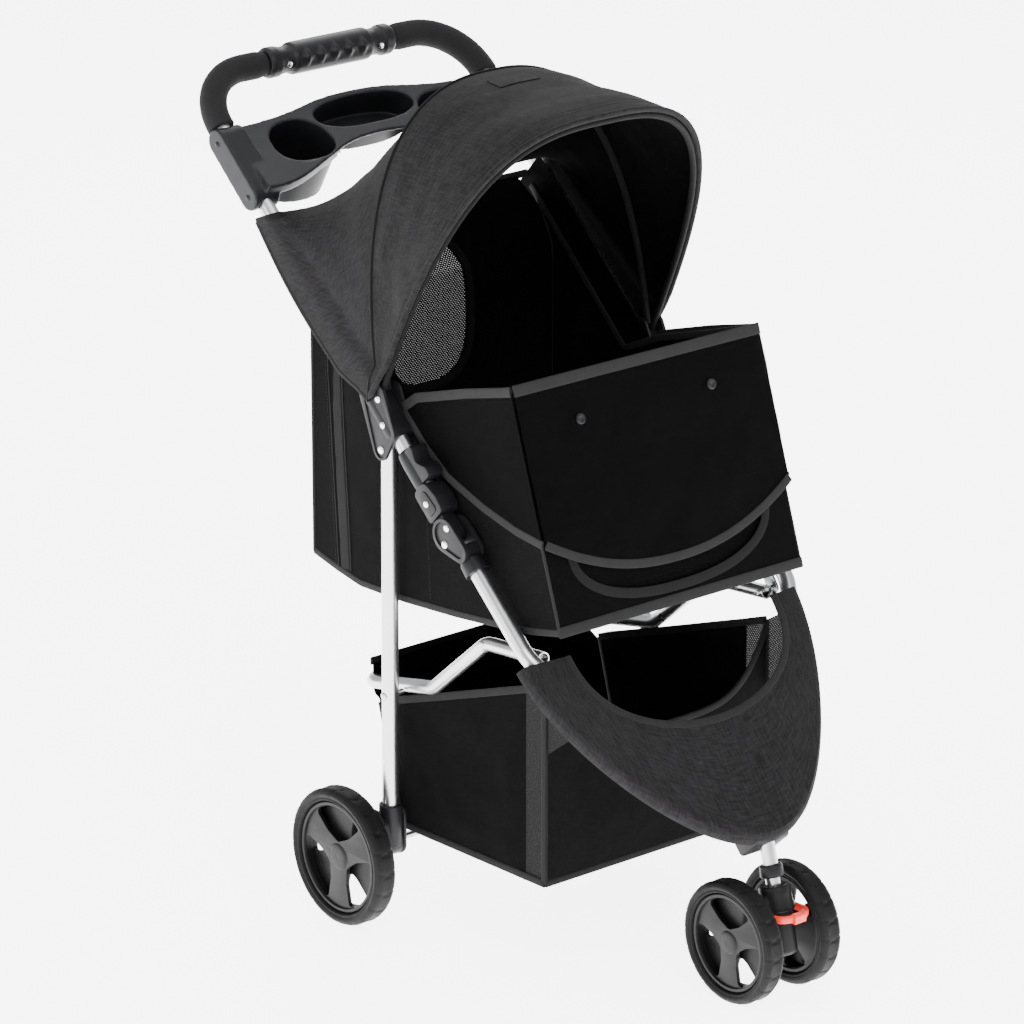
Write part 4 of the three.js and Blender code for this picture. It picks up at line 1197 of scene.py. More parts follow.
def wheel(kind, size, side, name):
    x = side * size["x"]
    make(
        f"{kind}_tread_{name}", [tyre(size, x)], RUBBER, f"{kind}_wheel_{name}", [f"{kind}_tyre_{name}"],
        bevel=0.35, bevel_steps=1, sharp=30,
    )
    make(
        f"{kind}_wheel_centre_{name}", hub(size, x, side), HUB_PLASTIC, f"{kind}_wheel_{name}",
        [f"{kind}_hub_{name}"], bevel=1.2, bevel_steps=3,
    )


for name, side in SIDES.items():
    wheel("rear", REAR, side, name)
    wheel("front", FRONT, side, name)


# ---- rear foot, brake and axles ---------------------------------------------------------------
def rear_foot(side, name):
    lean = (LINK_AT[0] - LEG_AT[0]) / (LEG_AT[1] - LINK_AT[1])

    def leg_y(z):
        return LEG_AT[0] + lean * (LEG_AT[1] - z)

    cheek = belt([(leg_y(120), 126, 13), (leg_y(100), 92, 13), (0, 80, 13), (22, 96, 8)])
    collar = tube([Vector((HALF_WIDTH, leg_y(92), 92)), Vector((HALF_WIDTH, leg_y(141), 141))], 13.4, 3.6, 36)
    body = [
        plate(cheek, INNER, INNER + 4), plate(cheek, 210, 214),
        plate(belt([(leg_y(120), 118, 9), (leg_y(100), 92, 12), (0, 80, 11)]), INNER + 3.5, 210.5), collar,
        lathe([(4.5, 213), (10.5, 213), (10.0, 218.4), (4.5, 218.4)], 36, (0, 0, 80)),
    ]
    make(f"foot_casting_{name}", sided(body, side), PLASTIC, "rear_legs", [f"foot_bracket_{name}"], bevel=1.2)
    heads = [rivet(213.6, leg_y(118), 118, 4.0)]
    make(f"foot_rivets_{name}", sided(heads, side), RIVET, "rear_legs")

    lever = plate(belt([(24, 104, 7), (36, 106.5, 5.5)]), 184.3, 206.7)
    pad_outline = rounded([(33, 111, 3), (33, 101.5, 3), (64, 107.5, 3), (66, 113.5, 2.5)], 6)
    pad = plate(pad_outline, 179.3, 211.7)
    rib = [(40, 110.5), (42, 110.8), (41.6, 113.2), (40.4, 113)]
    ribs = [plate(rounded([(y + 5 * k, z + 0.8 * k, 0.5) for y, z in rib], 2), 184, 207) for k in range(4)]
    make(
        f"brake_lever_{name}", sided([lever, pad] + ribs, side), RED, f"brake_{name}",
        [f"brake_pedal_{name}"], bevel=1.2,
    )


def axles():
    make(
        "rear_axle_bar", [pin(-241, 241, REAR["y"], REAR["radius"], 4, 24)], STEEL, "rear_legs",
        ["rear_axle"],
    )
    make(
        "caster_axle_bar", [pin(-49.5, 49.5, FRONT["y"], FRONT["radius"], 4, 24)], STEEL, "caster",
        ["caster_axle"],
    )


def caster():
    """The moulded block, the bright post and the swivelling fork."""
    make(
        "post_bar",
        [moved(tube([Vector((0, 0, -POST_LENGTH)), Vector((0, 0, 0))], POST_R, sides=32), POST_FRAME)], STEEL,
        "front_frame", ["caster_post"],
    )
    block = [
        plate(rounded([(-276, -30, 6), (-276, 8, 8), (-236, 8, 8), (-236, -30, 6)]), -24, 24),
        lathe([(POST_R + 0.3, -8), (13.5, -8), (12.6, 6), (POST_R + 0.3, 6)], 36, axis="Z"),
    ]
    block = [moved(block[0], APRON_FRAME), moved(block[1], POST_FRAME @ Matrix.Translation((0, 0, -38)))]
    make("post_clamp", block, PLASTIC, "front_frame", ["post_block"], bevel=2)

    down = POST_FRAME
    end = down @ Vector((0, 0, -133))
    arm = belt([(end.y + 8, end.z + 24, 10), (-441, 70, 12.5)])
    collar = [
        (POST_R + 0.3, -84), (19, -84), (19.6, -80), (18.2, -74), (17.6, -66), (17.6, -58), (16, -55.2),
        (POST_R + 0.3, -55.2)
    ]
    stem = [(0.01, -133), (11, -133), (14.6, -129), (15.3, -84), (0.01, -84)]
    body = [
        moved(lathe(collar[::-1], 48, axis="Z"), down), moved(lathe(stem[::-1], 48, axis="Z"), down),
        plate(arm, -12.5, 12.5), plate(belt([(end.y + 4, end.z + 34, 9), (-446, 80, 9)]), -2.5, 2.5),
        lathe([(4.3, -27), (9.6, -27), (10.4, -25.5), (10.4, 25.5), (9.6, 27), (4.3, 27)], 40, (0, -441, 70)),
    ]
    make("caster_fork", body, HUB_PLASTIC, "caster", ["caster_housing"], bevel=1.2)


def swivel_loop():
    """The red loop that stops the caster from swivelling."""
    at = POST_FRAME @ Vector((0, 0, -84))
    line = bent(
        [(-22, at.y + 8, at.z), (-22, at.y - 30, at.z + 2), (22, at.y - 30, at.z + 2), (22, at.y + 8, at.z)],
        15
    )
    body = [sweep(line, superellipse(3.0, 4.2, 3, 20), Vector((0, 0.05, 1)))]
    thumb = [(-37, -3.5, 2.5), (-28, -3.5, 2), (-28, 7.5, 2), (-37, 7.5, 2.5)]
    body.append(plate(rounded([(at.y + y, at.z + z, radius) for y, z, radius in thumb]), -8, 8))
    for side in (1, -1):
        body += sided([plate(belt([(at.y + 8, at.z, 5.6), (at.y + 2, at.z, 4.5)]), 19.0, 25.0)], side)
    make("swivel_stop", body, RED, "swivel_lock_loop", ["swivel_lock"], bevel=0.7)


for name, side in SIDES.items():
    rear_foot(side, name)
axles()
caster()
swivel_loop()


# ---- canopy -----------------------------------------------------------------------------------
SHOULDER = 0.70  # how square the front rim is; the rear rib is rounder
RIB_SHOULDER = 0.80
RIM_TILT = 0.43


def arch(turn, half, height, tilt, power=SHOULDER, base=BOW_AT):
    """A point of an arch that stands on the bow pivots and leans forward by tilt."""
    up = height * abs(math.sin(turn)) ** power
    return Vector(
        (
            half * signed_power(math.cos(turn), power), base[0] - up * math.sin(tilt),
            base[1] + up * math.cos(tilt),
        ),
    )


def bows():
    turns = [math.pi * k / 72 for k in range(73)]
    lift = Vector((0, -math.sin(FRONT_TILT), math.cos(FRONT_TILT)))
    line = [arch(t, 196.5, 331, RIM_TILT) for t in turns]
    line[0] -= lift * 5
    line[-1] -= lift * 5
    make(
        "front_hoop", [sweep(line, circle(3.5, 16), Vector((0, 1, 0)))], PIPING, "canopy_bow",
        ["canopy_front_bow"], slot="black_plastic",
    )
    line = [arch(t, 188, 313, REAR_TILT, RIB_SHOULDER) for t in turns]
    line[0] += Vector((0, 0, 3))
    line[-1] += Vector((0, 0, 3))
    make(
        "rear_hoop", [sweep(line, circle(3.5, 16), Vector((0, 1, 0)))], PIPING, "handle_frame",
        ["canopy_rear_bow"], slot="black_plastic",
    )


CANOPY_COLUMNS = 96
SKIRT = 7
BACK_EDGE = on_slope(262, 14)


def canopy_row(v):
    """One line across the canopy. v is 0 at the front rim, 1 at the rear rib and 2 at the back edge."""
    near = min(v, 1)
    tilt = RIM_TILT + (REAR_TILT - RIM_TILT) * near
    height = 339 - 17 * near - 8 * math.sin(math.pi * near)
    power = SHOULDER + (RIB_SHOULDER - SHOULDER) * near
    sag = 5 * math.sin(math.pi * near) ** 2
    row = []
    for k in range(CANOPY_COLUMNS + 1):
        turn = 0.055 + (math.pi - 0.11) * k / CANOPY_COLUMNS
        p = arch(turn, 204 - 3 * near - 0.3 * sag, height - sag * math.sin(turn) ** 2, tilt, power)
        if v > 1:
            low = Vector((p.x * 0.985, BACK_EDGE[0], BACK_EDGE[1] + 12))
            q = p.lerp(low, v - 1)
            q.z -= 7 * math.sin(math.pi * (v - 1)) * math.sin(turn) ** 2
            q.z = max(q.z, 590 + 0.9 * (q.y + 39) + 20)
            p = q
        row.append(p)
    along = max(v - 1, 0)
    s = 34 + (286 - 34) * along ** 0.8
    off = (-15 - 9 * math.sin(math.pi * along)) * min(1, along / 0.12)
    end_y, end_z = on_slope(s, off + 4)
    skirts = []
    for index in (0, CANOPY_COLUMNS):
        top = row[index]
        side = 1 if index == 0 else -1
        skirt = []
        for j in range(SKIRT, 0, -1):
            t = j / SKIRT
            bulge = math.sin(math.pi * min(t, 1)) * 1.5
            x = side * (205.2 - 1.5 * along + bulge * 0.4)
            x = top.x + (x - top.x) * min(1, t * 3)
            skirt.append(Vector((x, top.y + (end_y - top.y) * t, top.z + (end_z - top.z) * t)))
        skirts.append(skirt)
    return skirts[0] + row + skirts[1][::-1]


def wrinkled(rows, depth, scale, seed, stretch=(1, 1, 1), hold=None):
    """Pushes a grid of points in and out along its normals by smooth noise."""
    grid = np.asarray(rows, float)
    normal = grid_normals(grid)
    m, n, _ = grid.shape
    for i in range(m):
        for j in range(n):
            weight = 1.0 if hold is None else hold(i / (m - 1), j / (n - 1))
            if weight:
                grid[i, j] += normal[i, j] * depth * weight * ripple(grid[i, j], scale, seed, stretch)
    return grid


def edge_fade(u, v):
    return min(1, 6 * min(u, 1 - u)) * min(1, 8 * min(v, 1 - v))


def inner_faces(piece, rows, material):
    """Gives the faces on the inner side of a cloth grid their own finish."""
    m, n = len(rows), len(rows[0])
    piece.data.materials.append(material)
    count = 2 * (m - 1) * (n - 1)
    for index in range(1, count, 2):
        piece.data.polygons[index].material_index = 1


def bow_angle(point):
    """How far a point's plane through the bow pivot leans back from the front bow, in radians."""
    y = point[1] / MM - SHIFT - BOW_AT[0]
    z = point[2] / MM - BOW_AT[1]
    return math.atan2(y, z) + FRONT_TILT


def fold_with_bow(piece):
    """Takes a piece off its body and bakes its placement into its mesh."""
    unride(piece)
    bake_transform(piece)
    for vertex in piece.data.vertices:
        share = bow_angle(vertex.co) / (FRONT_TILT - REAR_TILT)
    return piece


def canopy():
    front = [canopy_row(k / 30) for k in range(31)]
    back = [canopy_row(1 + k / 22) for k in range(23)]
    n = len(front[0])

    def calm_front(u, v):
        rim = min(1, 5 * u) * min(1, 7 * (1 - u))
        return rim * min(1, 9 * min(v, 1 - v))

    front = wrinkled(front, 2.6, 95, 2.0, (0.6, 1.5, 0.8), calm_front)

    def calm_back(u, v):
        return min(1, 6 * u) * min(1, 5 * (1 - u)) * min(1, 9 * min(v, 1 - v))

    back = wrinkled(back, 2.4, 80, 5.0, hold=calm_back)
    back[0] = front[-1]
    piece = fold_with_bow(
        make("canopy_front_panel", [cloth(front)], CANVAS, "handle_frame", ["canopy_cover"]),
    )
    inner_faces(piece, front, LINING)
    area = grid_area(front)
    row_length(front[15])
    piece = make("canopy_back_panel", [cloth(back)], CANVAS, "handle_frame")
    inner_faces(piece, back, LINING)
    area = grid_area(back)
    row_length(back[11])
    max(0.22, area / row_length(back[11]))

    up = grid_normals(front)[-1]
    rib_line = front[-1] + up * 1.4
    make("canopy_rib_piping", [sweep(rib_line, circle(1.9, 10), up=up)], PIPING, "handle_frame")
    up = grid_normals(front)[0]
    hem = make(
        "canopy_rim_hem", [sweep(front[0], superellipse(3.2, 3.4, 2.6, 14), up=up)], CANVAS, "handle_frame"
    )
    fold_with_bow(hem)
    seam_rows = []
    for row in (3, 4):
        seam_rows.append(stitches(front[row][4:-4], grid_normals(front)[row][4:-4], lift=1.25))
    fold_with_bow(make("canopy_rim_stitching", seam_rows, THREAD, "handle_frame"))
    up = grid_normals(back)
    make("canopy_back_binding", [tape_on(back[-1], up[-1], 9, 3.4)], PIPING, "handle_frame")
    for name, j in (("left", 0), ("right", n - 1)):
        make(f"canopy_side_binding_{name}", [tape_on(back[:, j], up[:, j], 6, 3.2)], PIPING, "handle_frame")
    patch_rows = []
    middle = n // 2
    for i in np.linspace(0.70, 0.83, 5):
        at = i * (len(front) - 1)
        low = int(at)
        row = front[low] * (1 - at + low) + front[low + 1] * (at - low)
        patch_rows.append(row[middle - 2 : middle + 4])
    grid = np.asarray(patch_rows)
    patch = make("canopy_patch", [cloth(grid + grid_normals(grid) * 1.7, 1.0)], PIPING, "handle_frame")
    fold_with_bow(patch)


def unride(piece):
    piece.parent = None
    if "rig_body" in piece:
        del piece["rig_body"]


def row_length(row):
    return float(np.linalg.norm(np.diff(np.asarray(row, float), axis=0), axis=1).sum()) * MM


def grid_area(grid):
    a, b, c, d = grid[:-1, :-1], grid[1:, :-1], grid[1:, 1:], grid[:-1, 1:]
    one = np.linalg.norm(np.cross(b - a, c - a), axis=2) / 2
    two = np.linalg.norm(np.cross(c - a, d - a), axis=2) / 2
    return float((one + two).sum()) * MM * MM


bows()
canopy()


# ---- sewn panels ------------------------------------------------------------------------------
def resampled(line, count):
    """A polyline as evenly spaced points."""
    p = np.asarray([tuple(q) for q in line], float)
    run = np.concatenate([[0], np.cumsum(np.linalg.norm(np.diff(p, axis=0), axis=1))])
    at = np.linspace(0, run[-1], count)
    return np.stack([np.interp(at, run, p[:, i]) for i in range(3)], axis=1)


def grid_of(m, n, place):
    """A grid of m by n points; place turns shares up and across, from 0 to 1, into a point."""
    return np.array([[place(i / (m - 1), j / (n - 1)) for j in range(n)] for i in range(m)], float)


def side_run(line, x, count):
    """A line of the side view at x, as evenly spaced points."""
    return [Vector(p) for p in resampled(side_line(line, x), count)]


def coons(low, high, first, last, m, n):
    """A grid of m by n points that fills the patch between four edges."""
    low, high = resampled(low, n), resampled(high, n)
    first, last = resampled(first, m), resampled(last, m)
    v = np.linspace(0, 1, m)[:, None, None]
    u = np.linspace(0, 1, n)[None, :, None]
    ruled = (1 - v) * low[None] + v * high[None] + (1 - u) * first[:, None] + u * last[:, None]
    corners = ((1 - u) * (1 - v) * low[0] + u * (1 - v) * low[-1] + (1 - u) * v * high[0] + u * v * high[-1])
    return ruled - corners


def bulged(rows, depth):
    """Pushes the middle of a grid out along its normals."""
    grid = np.asarray(rows, float)
    normal = grid_normals(grid)
    m, n, _ = grid.shape
    for i in range(m):
        for j in range(n):
            u, v = i / (m - 1), j / (n - 1)
            grid[i, j] += normal[i, j] * depth * math.sin(math.pi * u) * math.sin(math.pi * v)
    return grid


def nearest_on(rows, y, z, lift):
    """The point of a side panel's grid nearest to a place in the side view, lifted off the cloth."""
    grid = np.asarray(rows, float).reshape(-1, 3)
    k = int(np.argmin((grid[:, 1] - y) ** 2 + (grid[:, 2] - z) ** 2))
    x = grid[k, 0]
    return Vector((x + lift, y, z))


X_AXIS = Vector((1, 0, 0))
CABIN_BOTTOM = [
    (-304, 419), (-260, 409), (-218, 402.5), (-130, 392), (-40, 384), (38, 381), (80, 388), (121, 397),
]
CABIN_REAR = [(121, 397), (121, 540), (121, 690), (133, 716), (157, 752)]
CABIN_TOP = [(-220, 671), (-150, 648), (-66, 622), (-8, 596), (60, 660), (157, 752)]
CABIN_FRONT = [(-304, 419), (-262, 545), (-220, 671)]


def side_line(line, x):
    return [(x, y, z) for y, z in line]


def cabin_side(side, name):
    x = CABIN_HALF + CLOTH / 2
    rows = coons(
        side_line(CABIN_BOTTOM, x), side_line(CABIN_TOP, x), side_line(CABIN_FRONT, x),
        side_line(CABIN_REAR, x), 44, 60
    )
    m, n, _ = rows.shape
    for i in range(m):
        for j in range(n):
            y, z = rows[i, j, 1:]
            fade = edge_fade(i / (m - 1), j / (n - 1))
            rows[i, j, 0] += fade * (1.6 * ripple((y, z, 0), 110, 3 + side, (1.6, 0.7, 1)) - 0.8)
            near_hardware = math.exp(-(((y + 70) / 60) ** 2)) * math.exp(-(((z - 560) / 90) ** 2))
            rows[i, j, 0] -= 2.0 * near_hardware * fade
    parts = sided([cloth(rows, 2.0)], side)
    # the side wall takes the darker canvas copy, whose darkness is painted shade
    make(f"cabin_wall_{name}", parts, SHADED_CANVAS, "front_frame", [f"cabin_side_{name}"])

    seams, tapes, zips = [], [], []
    for y0, y1 in ((94, 76), (70, 54)):
        line = [nearest_on(rows, y0 + (y1 - y0) * k / 24, 640 - 250 * k / 24, 1.3) for k in range(25)]
        zips.append(sweep(line, superellipse(1.1, 0.8, 3, 10), up=[X_AXIS] * 25))
        seams.append(stitches([p + Vector((0, 5, 0)) for p in line], X_AXIS, lift=0.1))
    line = [nearest_on(rows, 82 - 17 * k / 24, 640 - 250 * k / 24, 0.7) for k in range(25)]
    zips.append(sweep(line, superellipse(8, 0.6, 4, 12), up=[X_AXIS] * 25))
    line = [nearest_on(rows, -72 - 14 * k / 24, 600 - 205 * k / 24, 1.0) for k in range(25)]
    seams.append(stitches(line, X_AXIS, lift=0.3))
    make(f"cabin_zip_{name}", sided(zips, side), PIPING, "front_frame")
    make(f"cabin_stitching_{name}", sided(seams, side), THREAD, "front_frame")
    bottom = side_run(CABIN_BOTTOM, x, 60)
    tapes.append(tape_on(bottom, X_AXIS, 8, 3.6))
    rear = side_run(CABIN_REAR, x, 40)
    tapes.append(sweep(rear, circle(2.4, 12), up=X_AXIS))
    corner = side_run(CABIN_FRONT, x, 30)
    tapes.append(sweep(corner, circle(1.7, 12), up=X_AXIS))
    make(f"cabin_piping_{name}", sided(tapes, side), BINDING, "front_frame")
    top = side_run(CABIN_TOP, x - 2, 70)
    make(f"cabin_rim_tape_{name}", sided([tape_on(top, X_AXIS, 8, 3.0)], side), BINDING, "front_frame")


def cross_grid(line, half, m, n):
    """A wall across the stroller from its line in the side view."""
    p = resampled([(0, y, z) for y, z in line], m)
    u = np.linspace(half, -half, n)
    grid = np.zeros((m, n, 3))
    grid[..., 0] = u[None, :]
    grid[..., 1:] = p[:, None, 1:]
    return grid


def ring_grid(inner, outer, m):
    """A grid of m loops from an inner loop to an outer one, closed on itself."""
    inner, outer = np.asarray(inner, float), np.asarray(outer, float)
    t = np.linspace(0, 1, m)[:, None, None]
    return (1 - t) * inner[None] + t * outer[None]


def rectangle_loop(hole, half, low, high):
    """The points where rays through a hole's points meet a rectangle's border."""
    centre = np.array([0.0, (low + high) / 2])
    result = []
    for a, b in hole:
        d = np.array([a, b]) - centre
        k = min(
            half / abs(d[0]) if abs(d[0]) > 1e-6 else 1e9,
            (high - low) / 2 / abs(d[1]) if abs(d[1]) > 1e-6 else 1e9,
        )
        result.append(tuple(centre + d * k))
    return result


def windowed_wall(place, hole, half, low, high, m=12):
    """A wall with a window: place turns (across, up) into a point."""
    outer = rectangle_loop(hole, half, low, high)
    inner3 = [place(a, b) for a, b in hole]
    outer3 = [place(a, b) for a, b in outer]
    inner3.append(inner3[0])
    outer3.append(outer3[0])
    return ring_grid(inner3, outer3, m), inner3


def dome(cx, low, half, height, power=2.4, flat=0.45, steps=72):
    """A window with a flat-bottomed round-topped outline."""
    result = []
    for a, b in superellipse(1, 1, power, steps):
        up = height * b if b > 0 else height * flat * b
        result.append((cx + half * a, low + height * flat + up))
    return result


def cabin_front_wall():
    base, top = Vector((0, -304.5, 418)), Vector((0, -221, 671))
    run = (top - base).length
    along = (top - base) / run
    out = Vector((0, -along.z, along.y))

    def place(a, b):
        p = base + along * b
        bow = 3.0 * (1 - (a / 176) ** 2) * math.sin(math.pi * min(max(b / run, 0), 1))
        p = p + out * bow
        return (a, p.y, p.z)

    hole = dome(0, 16, 140, 128, 2.3, 0.5)
    rows, inner = windowed_wall(place, hole, 174.5, 0.5, run - 0.5, 10)
    make("cabin_front_wall", [cloth(rows, 1.8)], LINING, "front_frame", ["cabin_front"], slot="mesh_cloth")
    grid = grid_of(30, 40, lambda v, u: Vector(place(-150 + 300 * u, 10 + 206 * v)) - out * 1.6)
    make("front_window_net", [cloth(grid, 0.6)], DARK_NET, "front_frame")
    ring = [Vector(p) + out * 0.9 for p in inner[:-1]]
    make(
        "front_window_binding",
        [sweep(ring, superellipse(5.5, 0.9, 4, 12), up=[out] * len(ring), closed=True)], PIPING,
        "front_frame",
    )
    bottom = [Vector(place(a, 1.5)) + out * 0.6 for a in np.linspace(-176, 176, 60)]
    make("cabin_front_hem", [tape_on(bottom, out, 12, 3.4)], BINDING, "front_frame")
    seam = [
        Vector(place(a, run - 72 + 6 * math.sin(a / 40.0))) + out * 1.0 for a in np.linspace(-168, 168, 60)
    ]
    make("cabin_front_stitching", [stitches(seam, out, lift=0.2)], THREAD, "front_frame")


def cabin_rear_wall():
    def lean(b):
        return max(0, b - 292) * 36 / 62

    def place(a, b):
        y = 120.5 + lean(b)
        z = 398 + b
        fold = 2.2 * math.sin(a / 14.0) * max(0, min(1, (b - 60) / 120)) * (1 if a < -50 or a > 60 else 0.25)
        return (a, y - abs(fold), z)

    hole = [(a - 10, b) for a, b in dome(0, 158, 62, 108, 2.6, 0.65)]
    rows, inner = windowed_wall(place, hole, 173, 0.5, 366.5, 14)
    make("cabin_rear_wall", [cloth(rows, 1.8)], LINING, "front_frame", ["cabin_rear"])
    grid = grid_of(34, 34, lambda v, u: (-84 + 148 * u, 121.8 + lean(146 + 200 * v), 544 + 200 * v))
    net = make("rear_window_net", [cloth(grid, 0.6)], NET, "front_frame")
    prism = plate([(a * 1.03, 398 + b) for a, b in hole], 60, 220)
    prism = (prism[0][:, [1, 0, 2]], prism[1], prism[2])
    boolean(net, solid("cutter", [prism], Matrix.Identity(4)), "INTERSECT")
    ring = [Vector(p) + Vector((0, -1.6, 0)) for p in inner[:-1]]
    up = [Vector((0, -1, 0))] * len(ring)
    parts = [sweep(ring, superellipse(4.5, 0.9, 4, 12), up=up, closed=True)]
    ring = [Vector((p[0], 123.4 if p[2] < 690 else p[1] + 4, p[2])) for p in inner[:-1]]
    parts.append(sweep(ring, superellipse(4.5, 0.9, 4, 12), up=[Vector((0, 1, 0))] * len(ring), closed=True))
    make("rear_window_binding", parts, PIPING, "front_frame")
    low = [Vector((a, 122.5, 399)) for a in np.linspace(-175, 175, 40)]
    high = [Vector((a, 164, 765)) for a in np.linspace(-172, 172, 40)]
    up = [Vector((0, 1, 0))] * 40
    make("cabin_rear_hems", [tape_on(low, up, 9, 3.4), tape_on(high, up, 9, 3.4)], BINDING, "front_frame")


def cabin_floor():
    rows = cross_grid([(y, z - 1.4) for y, z in CABIN_BOTTOM][::-1], 174, 40, 40)
    make(
        "cabin_base", [cloth(wrinkled(rows, 1.0, 60, 7.0, hold=edge_fade), 2.0)], CANVAS, "front_frame",
        ["cabin_bottom"],
    )
    board = plate(
        rounded([(114, 402.2, 1.6), (114, 406, 1.6), (-288, 426.4, 1.6), (-288, 422.8, 1.6)], 4), -169, 169
    )
    make("stiffener_board", [board], BOARD, "front_frame", ["floor_board"], bevel=1)


CUSHION_HALF = 165
CUSHION_LINE = ((110, 407.4), (-284, 427.8))
CUSHION_THICK = 24


def cushion():
    """A padded floor cushion with three sewn channels and a corded edge."""
    (y0, z0), (y1, z1) = CUSHION_LINE
    run = math.dist((y0, z0), (y1, z1))
    half_run = run / 2
    ex, ey = 40, 48
    centre = Vector((0, (y0 + y1) / 2, (z0 + z1) / 2))
    along = Vector((0, (y1 - y0) / run, (z1 - z0) / run))
    up = Vector((0, -along.z, along.y))
    if up.z < 0:
        up = -up
    points, faces = [], []
    for top in (0, 1):
        for i in range(ey + 1):
            for j in range(ex + 1):
                a, b = 2 * j / ex - 1, 2 * i / ey - 1
                pull = 1 - 0.018 * (1 - a * a)
                edge = (1 - a**10) * (1 - b**10)
                h = CUSHION_THICK * 0.5
                if top:
                    h += CUSHION_THICK * 0.28 * max(edge, 0) ** 0.5
                else:
                    h -= CUSHION_THICK * 0.40 * max(edge, 0) ** 0.35
                across = X_AXIS * a * (CUSHION_HALF - 5) * (1 - 0.012 * (1 - b * b))
                points.append(centre + across + along * b * (half_run - 5) * pull + up * h)
    n = (ex + 1) * (ey + 1)

    def at(top, i, j):
        return top * n + i * (ex + 1) + j

    for i in range(ey):
        for j in range(ex):
            faces.append((at(1, i, j), at(1, i, j + 1), at(1, i + 1, j + 1), at(1, i + 1, j)))
            faces.append((at(0, i, j), at(0, i + 1, j), at(0, i + 1, j + 1), at(0, i, j + 1)))
    border = [(0, j) for j in range(ex)] + [(i, ex) for i in range(ey)]
    border += [(ey, j) for j in range(ex, 0, -1)] + [(i, 0) for i in range(ey, 0, -1)]
    for k, (i, j) in enumerate(border):
        i2, j2 = border[(k + 1) % len(border)]
        faces.append((at(0, i, j), at(0, i2, j2), at(1, i2, j2), at(1, i, j)))
    piece = to_object("cabin_cushion", [part(points, faces)])
    outward(piece)
    puffed(piece, voxel=6, cap=7)
    quilt(piece, centre + Vector((0, SHIFT, 0)), along, up, half_run)
    m = piece.modifiers.new("smooth", "SUBSURF")
    m.levels = m.render_levels = 1
    apply_modifiers(piece)
    dress(piece, CUSHION, "front_frame", ["floor_cushion"])
    corners = [(1, 1), (1, -1), (-1, -1), (-1, 1)]
    line = []
    for a, b in corners:
        line.append(centre + X_AXIS * a * (CUSHION_HALF - 2) + along * b * (half_run - 2) + up * 11)
    loop = bent([line[-1].lerp(line[0], 0.5)] + line + [line[-1].lerp(line[0], 0.5)], 12, 8)
    make("cushion_cord", [sweep(loop, circle(1.8, 10), up=up)], PIPING, "front_frame", slot="cushion_cloth")


def puffed(piece, voxel, cap):
    """Fills a pad with air by cloth simulation, no point moving more than cap."""
    m = piece.modifiers.new("skin", "REMESH")
    m.mode = "VOXEL"
    m.voxel_size = voxel * MM
    apply_modifiers(piece)
    before = np.zeros(len(piece.data.vertices) * 3, np.float32)
    piece.data.vertices.foreach_get("co", before)
    m = piece.modifiers.new("air", "CLOTH")
    m.settings.use_pressure = True
    m.settings.uniform_pressure_force = 4
    m.settings.effector_weights.gravity = 0
    m.settings.quality = 6
    m.point_cache.frame_start = 1
    m.point_cache.frame_end = 20
    for number in range(1, 21):
        scene.frame_set(number)
    apply_modifiers(piece)
    scene.frame_set(1)
    after = np.zeros_like(before)
    piece.data.vertices.foreach_get("co", after)
    step = (after - before).reshape(-1, 3)
    length = np.maximum(np.linalg.norm(step, axis=1, keepdims=True), 1e-9)
    step *= np.minimum(1, cap * MM / length)
    piece.data.vertices.foreach_set("co", (before.reshape(-1, 3) + step).ravel().astype(np.float32))
    piece.data.update()


def quilt(piece, centre, along, up, half_run):
    """Presses sewn channels into the top, and keeps the pad off the board and the walls."""
    centre, bottom = centre * MM, 1.0 * MM
    for v in piece.data.vertices:
        d = v.co - centre
        a, b, h = d.x / MM, d.dot(along) / MM, d.dot(up)
        if h > 12 * MM:
            for line in (-half_run / 2, 0, half_run / 2):
                v.co -= up * 5 * MM * math.exp(-(((b - line) / 7) ** 2)) * (1 if abs(a) < 150 else 0.3)
        d = v.co - centre
        h = d.dot(up)
        if h < bottom:
            v.co += up * (bottom - h)
        limit = CUSHION_HALF * MM
        v.co.x = max(-limit, min(limit, v.co.x))
        b = (v.co - centre).dot(along)
        most = half_run * MM
        if abs(b) > most:
            v.co -= along * (b - math.copysign(most, b))


# ---- front flap -------------------------------------------------------------------------------
FLAP_AT = Vector((0, *joint_point("flap_lift")))
FLAP_LEAN = math.atan2(84, 251)
FLAP_DOWN = Vector((0, -math.sin(FLAP_LEAN), -math.cos(FLAP_LEAN)))
FLAP_OUT = Vector((0, -math.cos(FLAP_LEAN), math.sin(FLAP_LEAN)))
FLAP_HALF = 176


def flap_depth(x):
    return 168 + 50 * (1 - min(1, abs(x) / FLAP_HALF) ** 2.2)


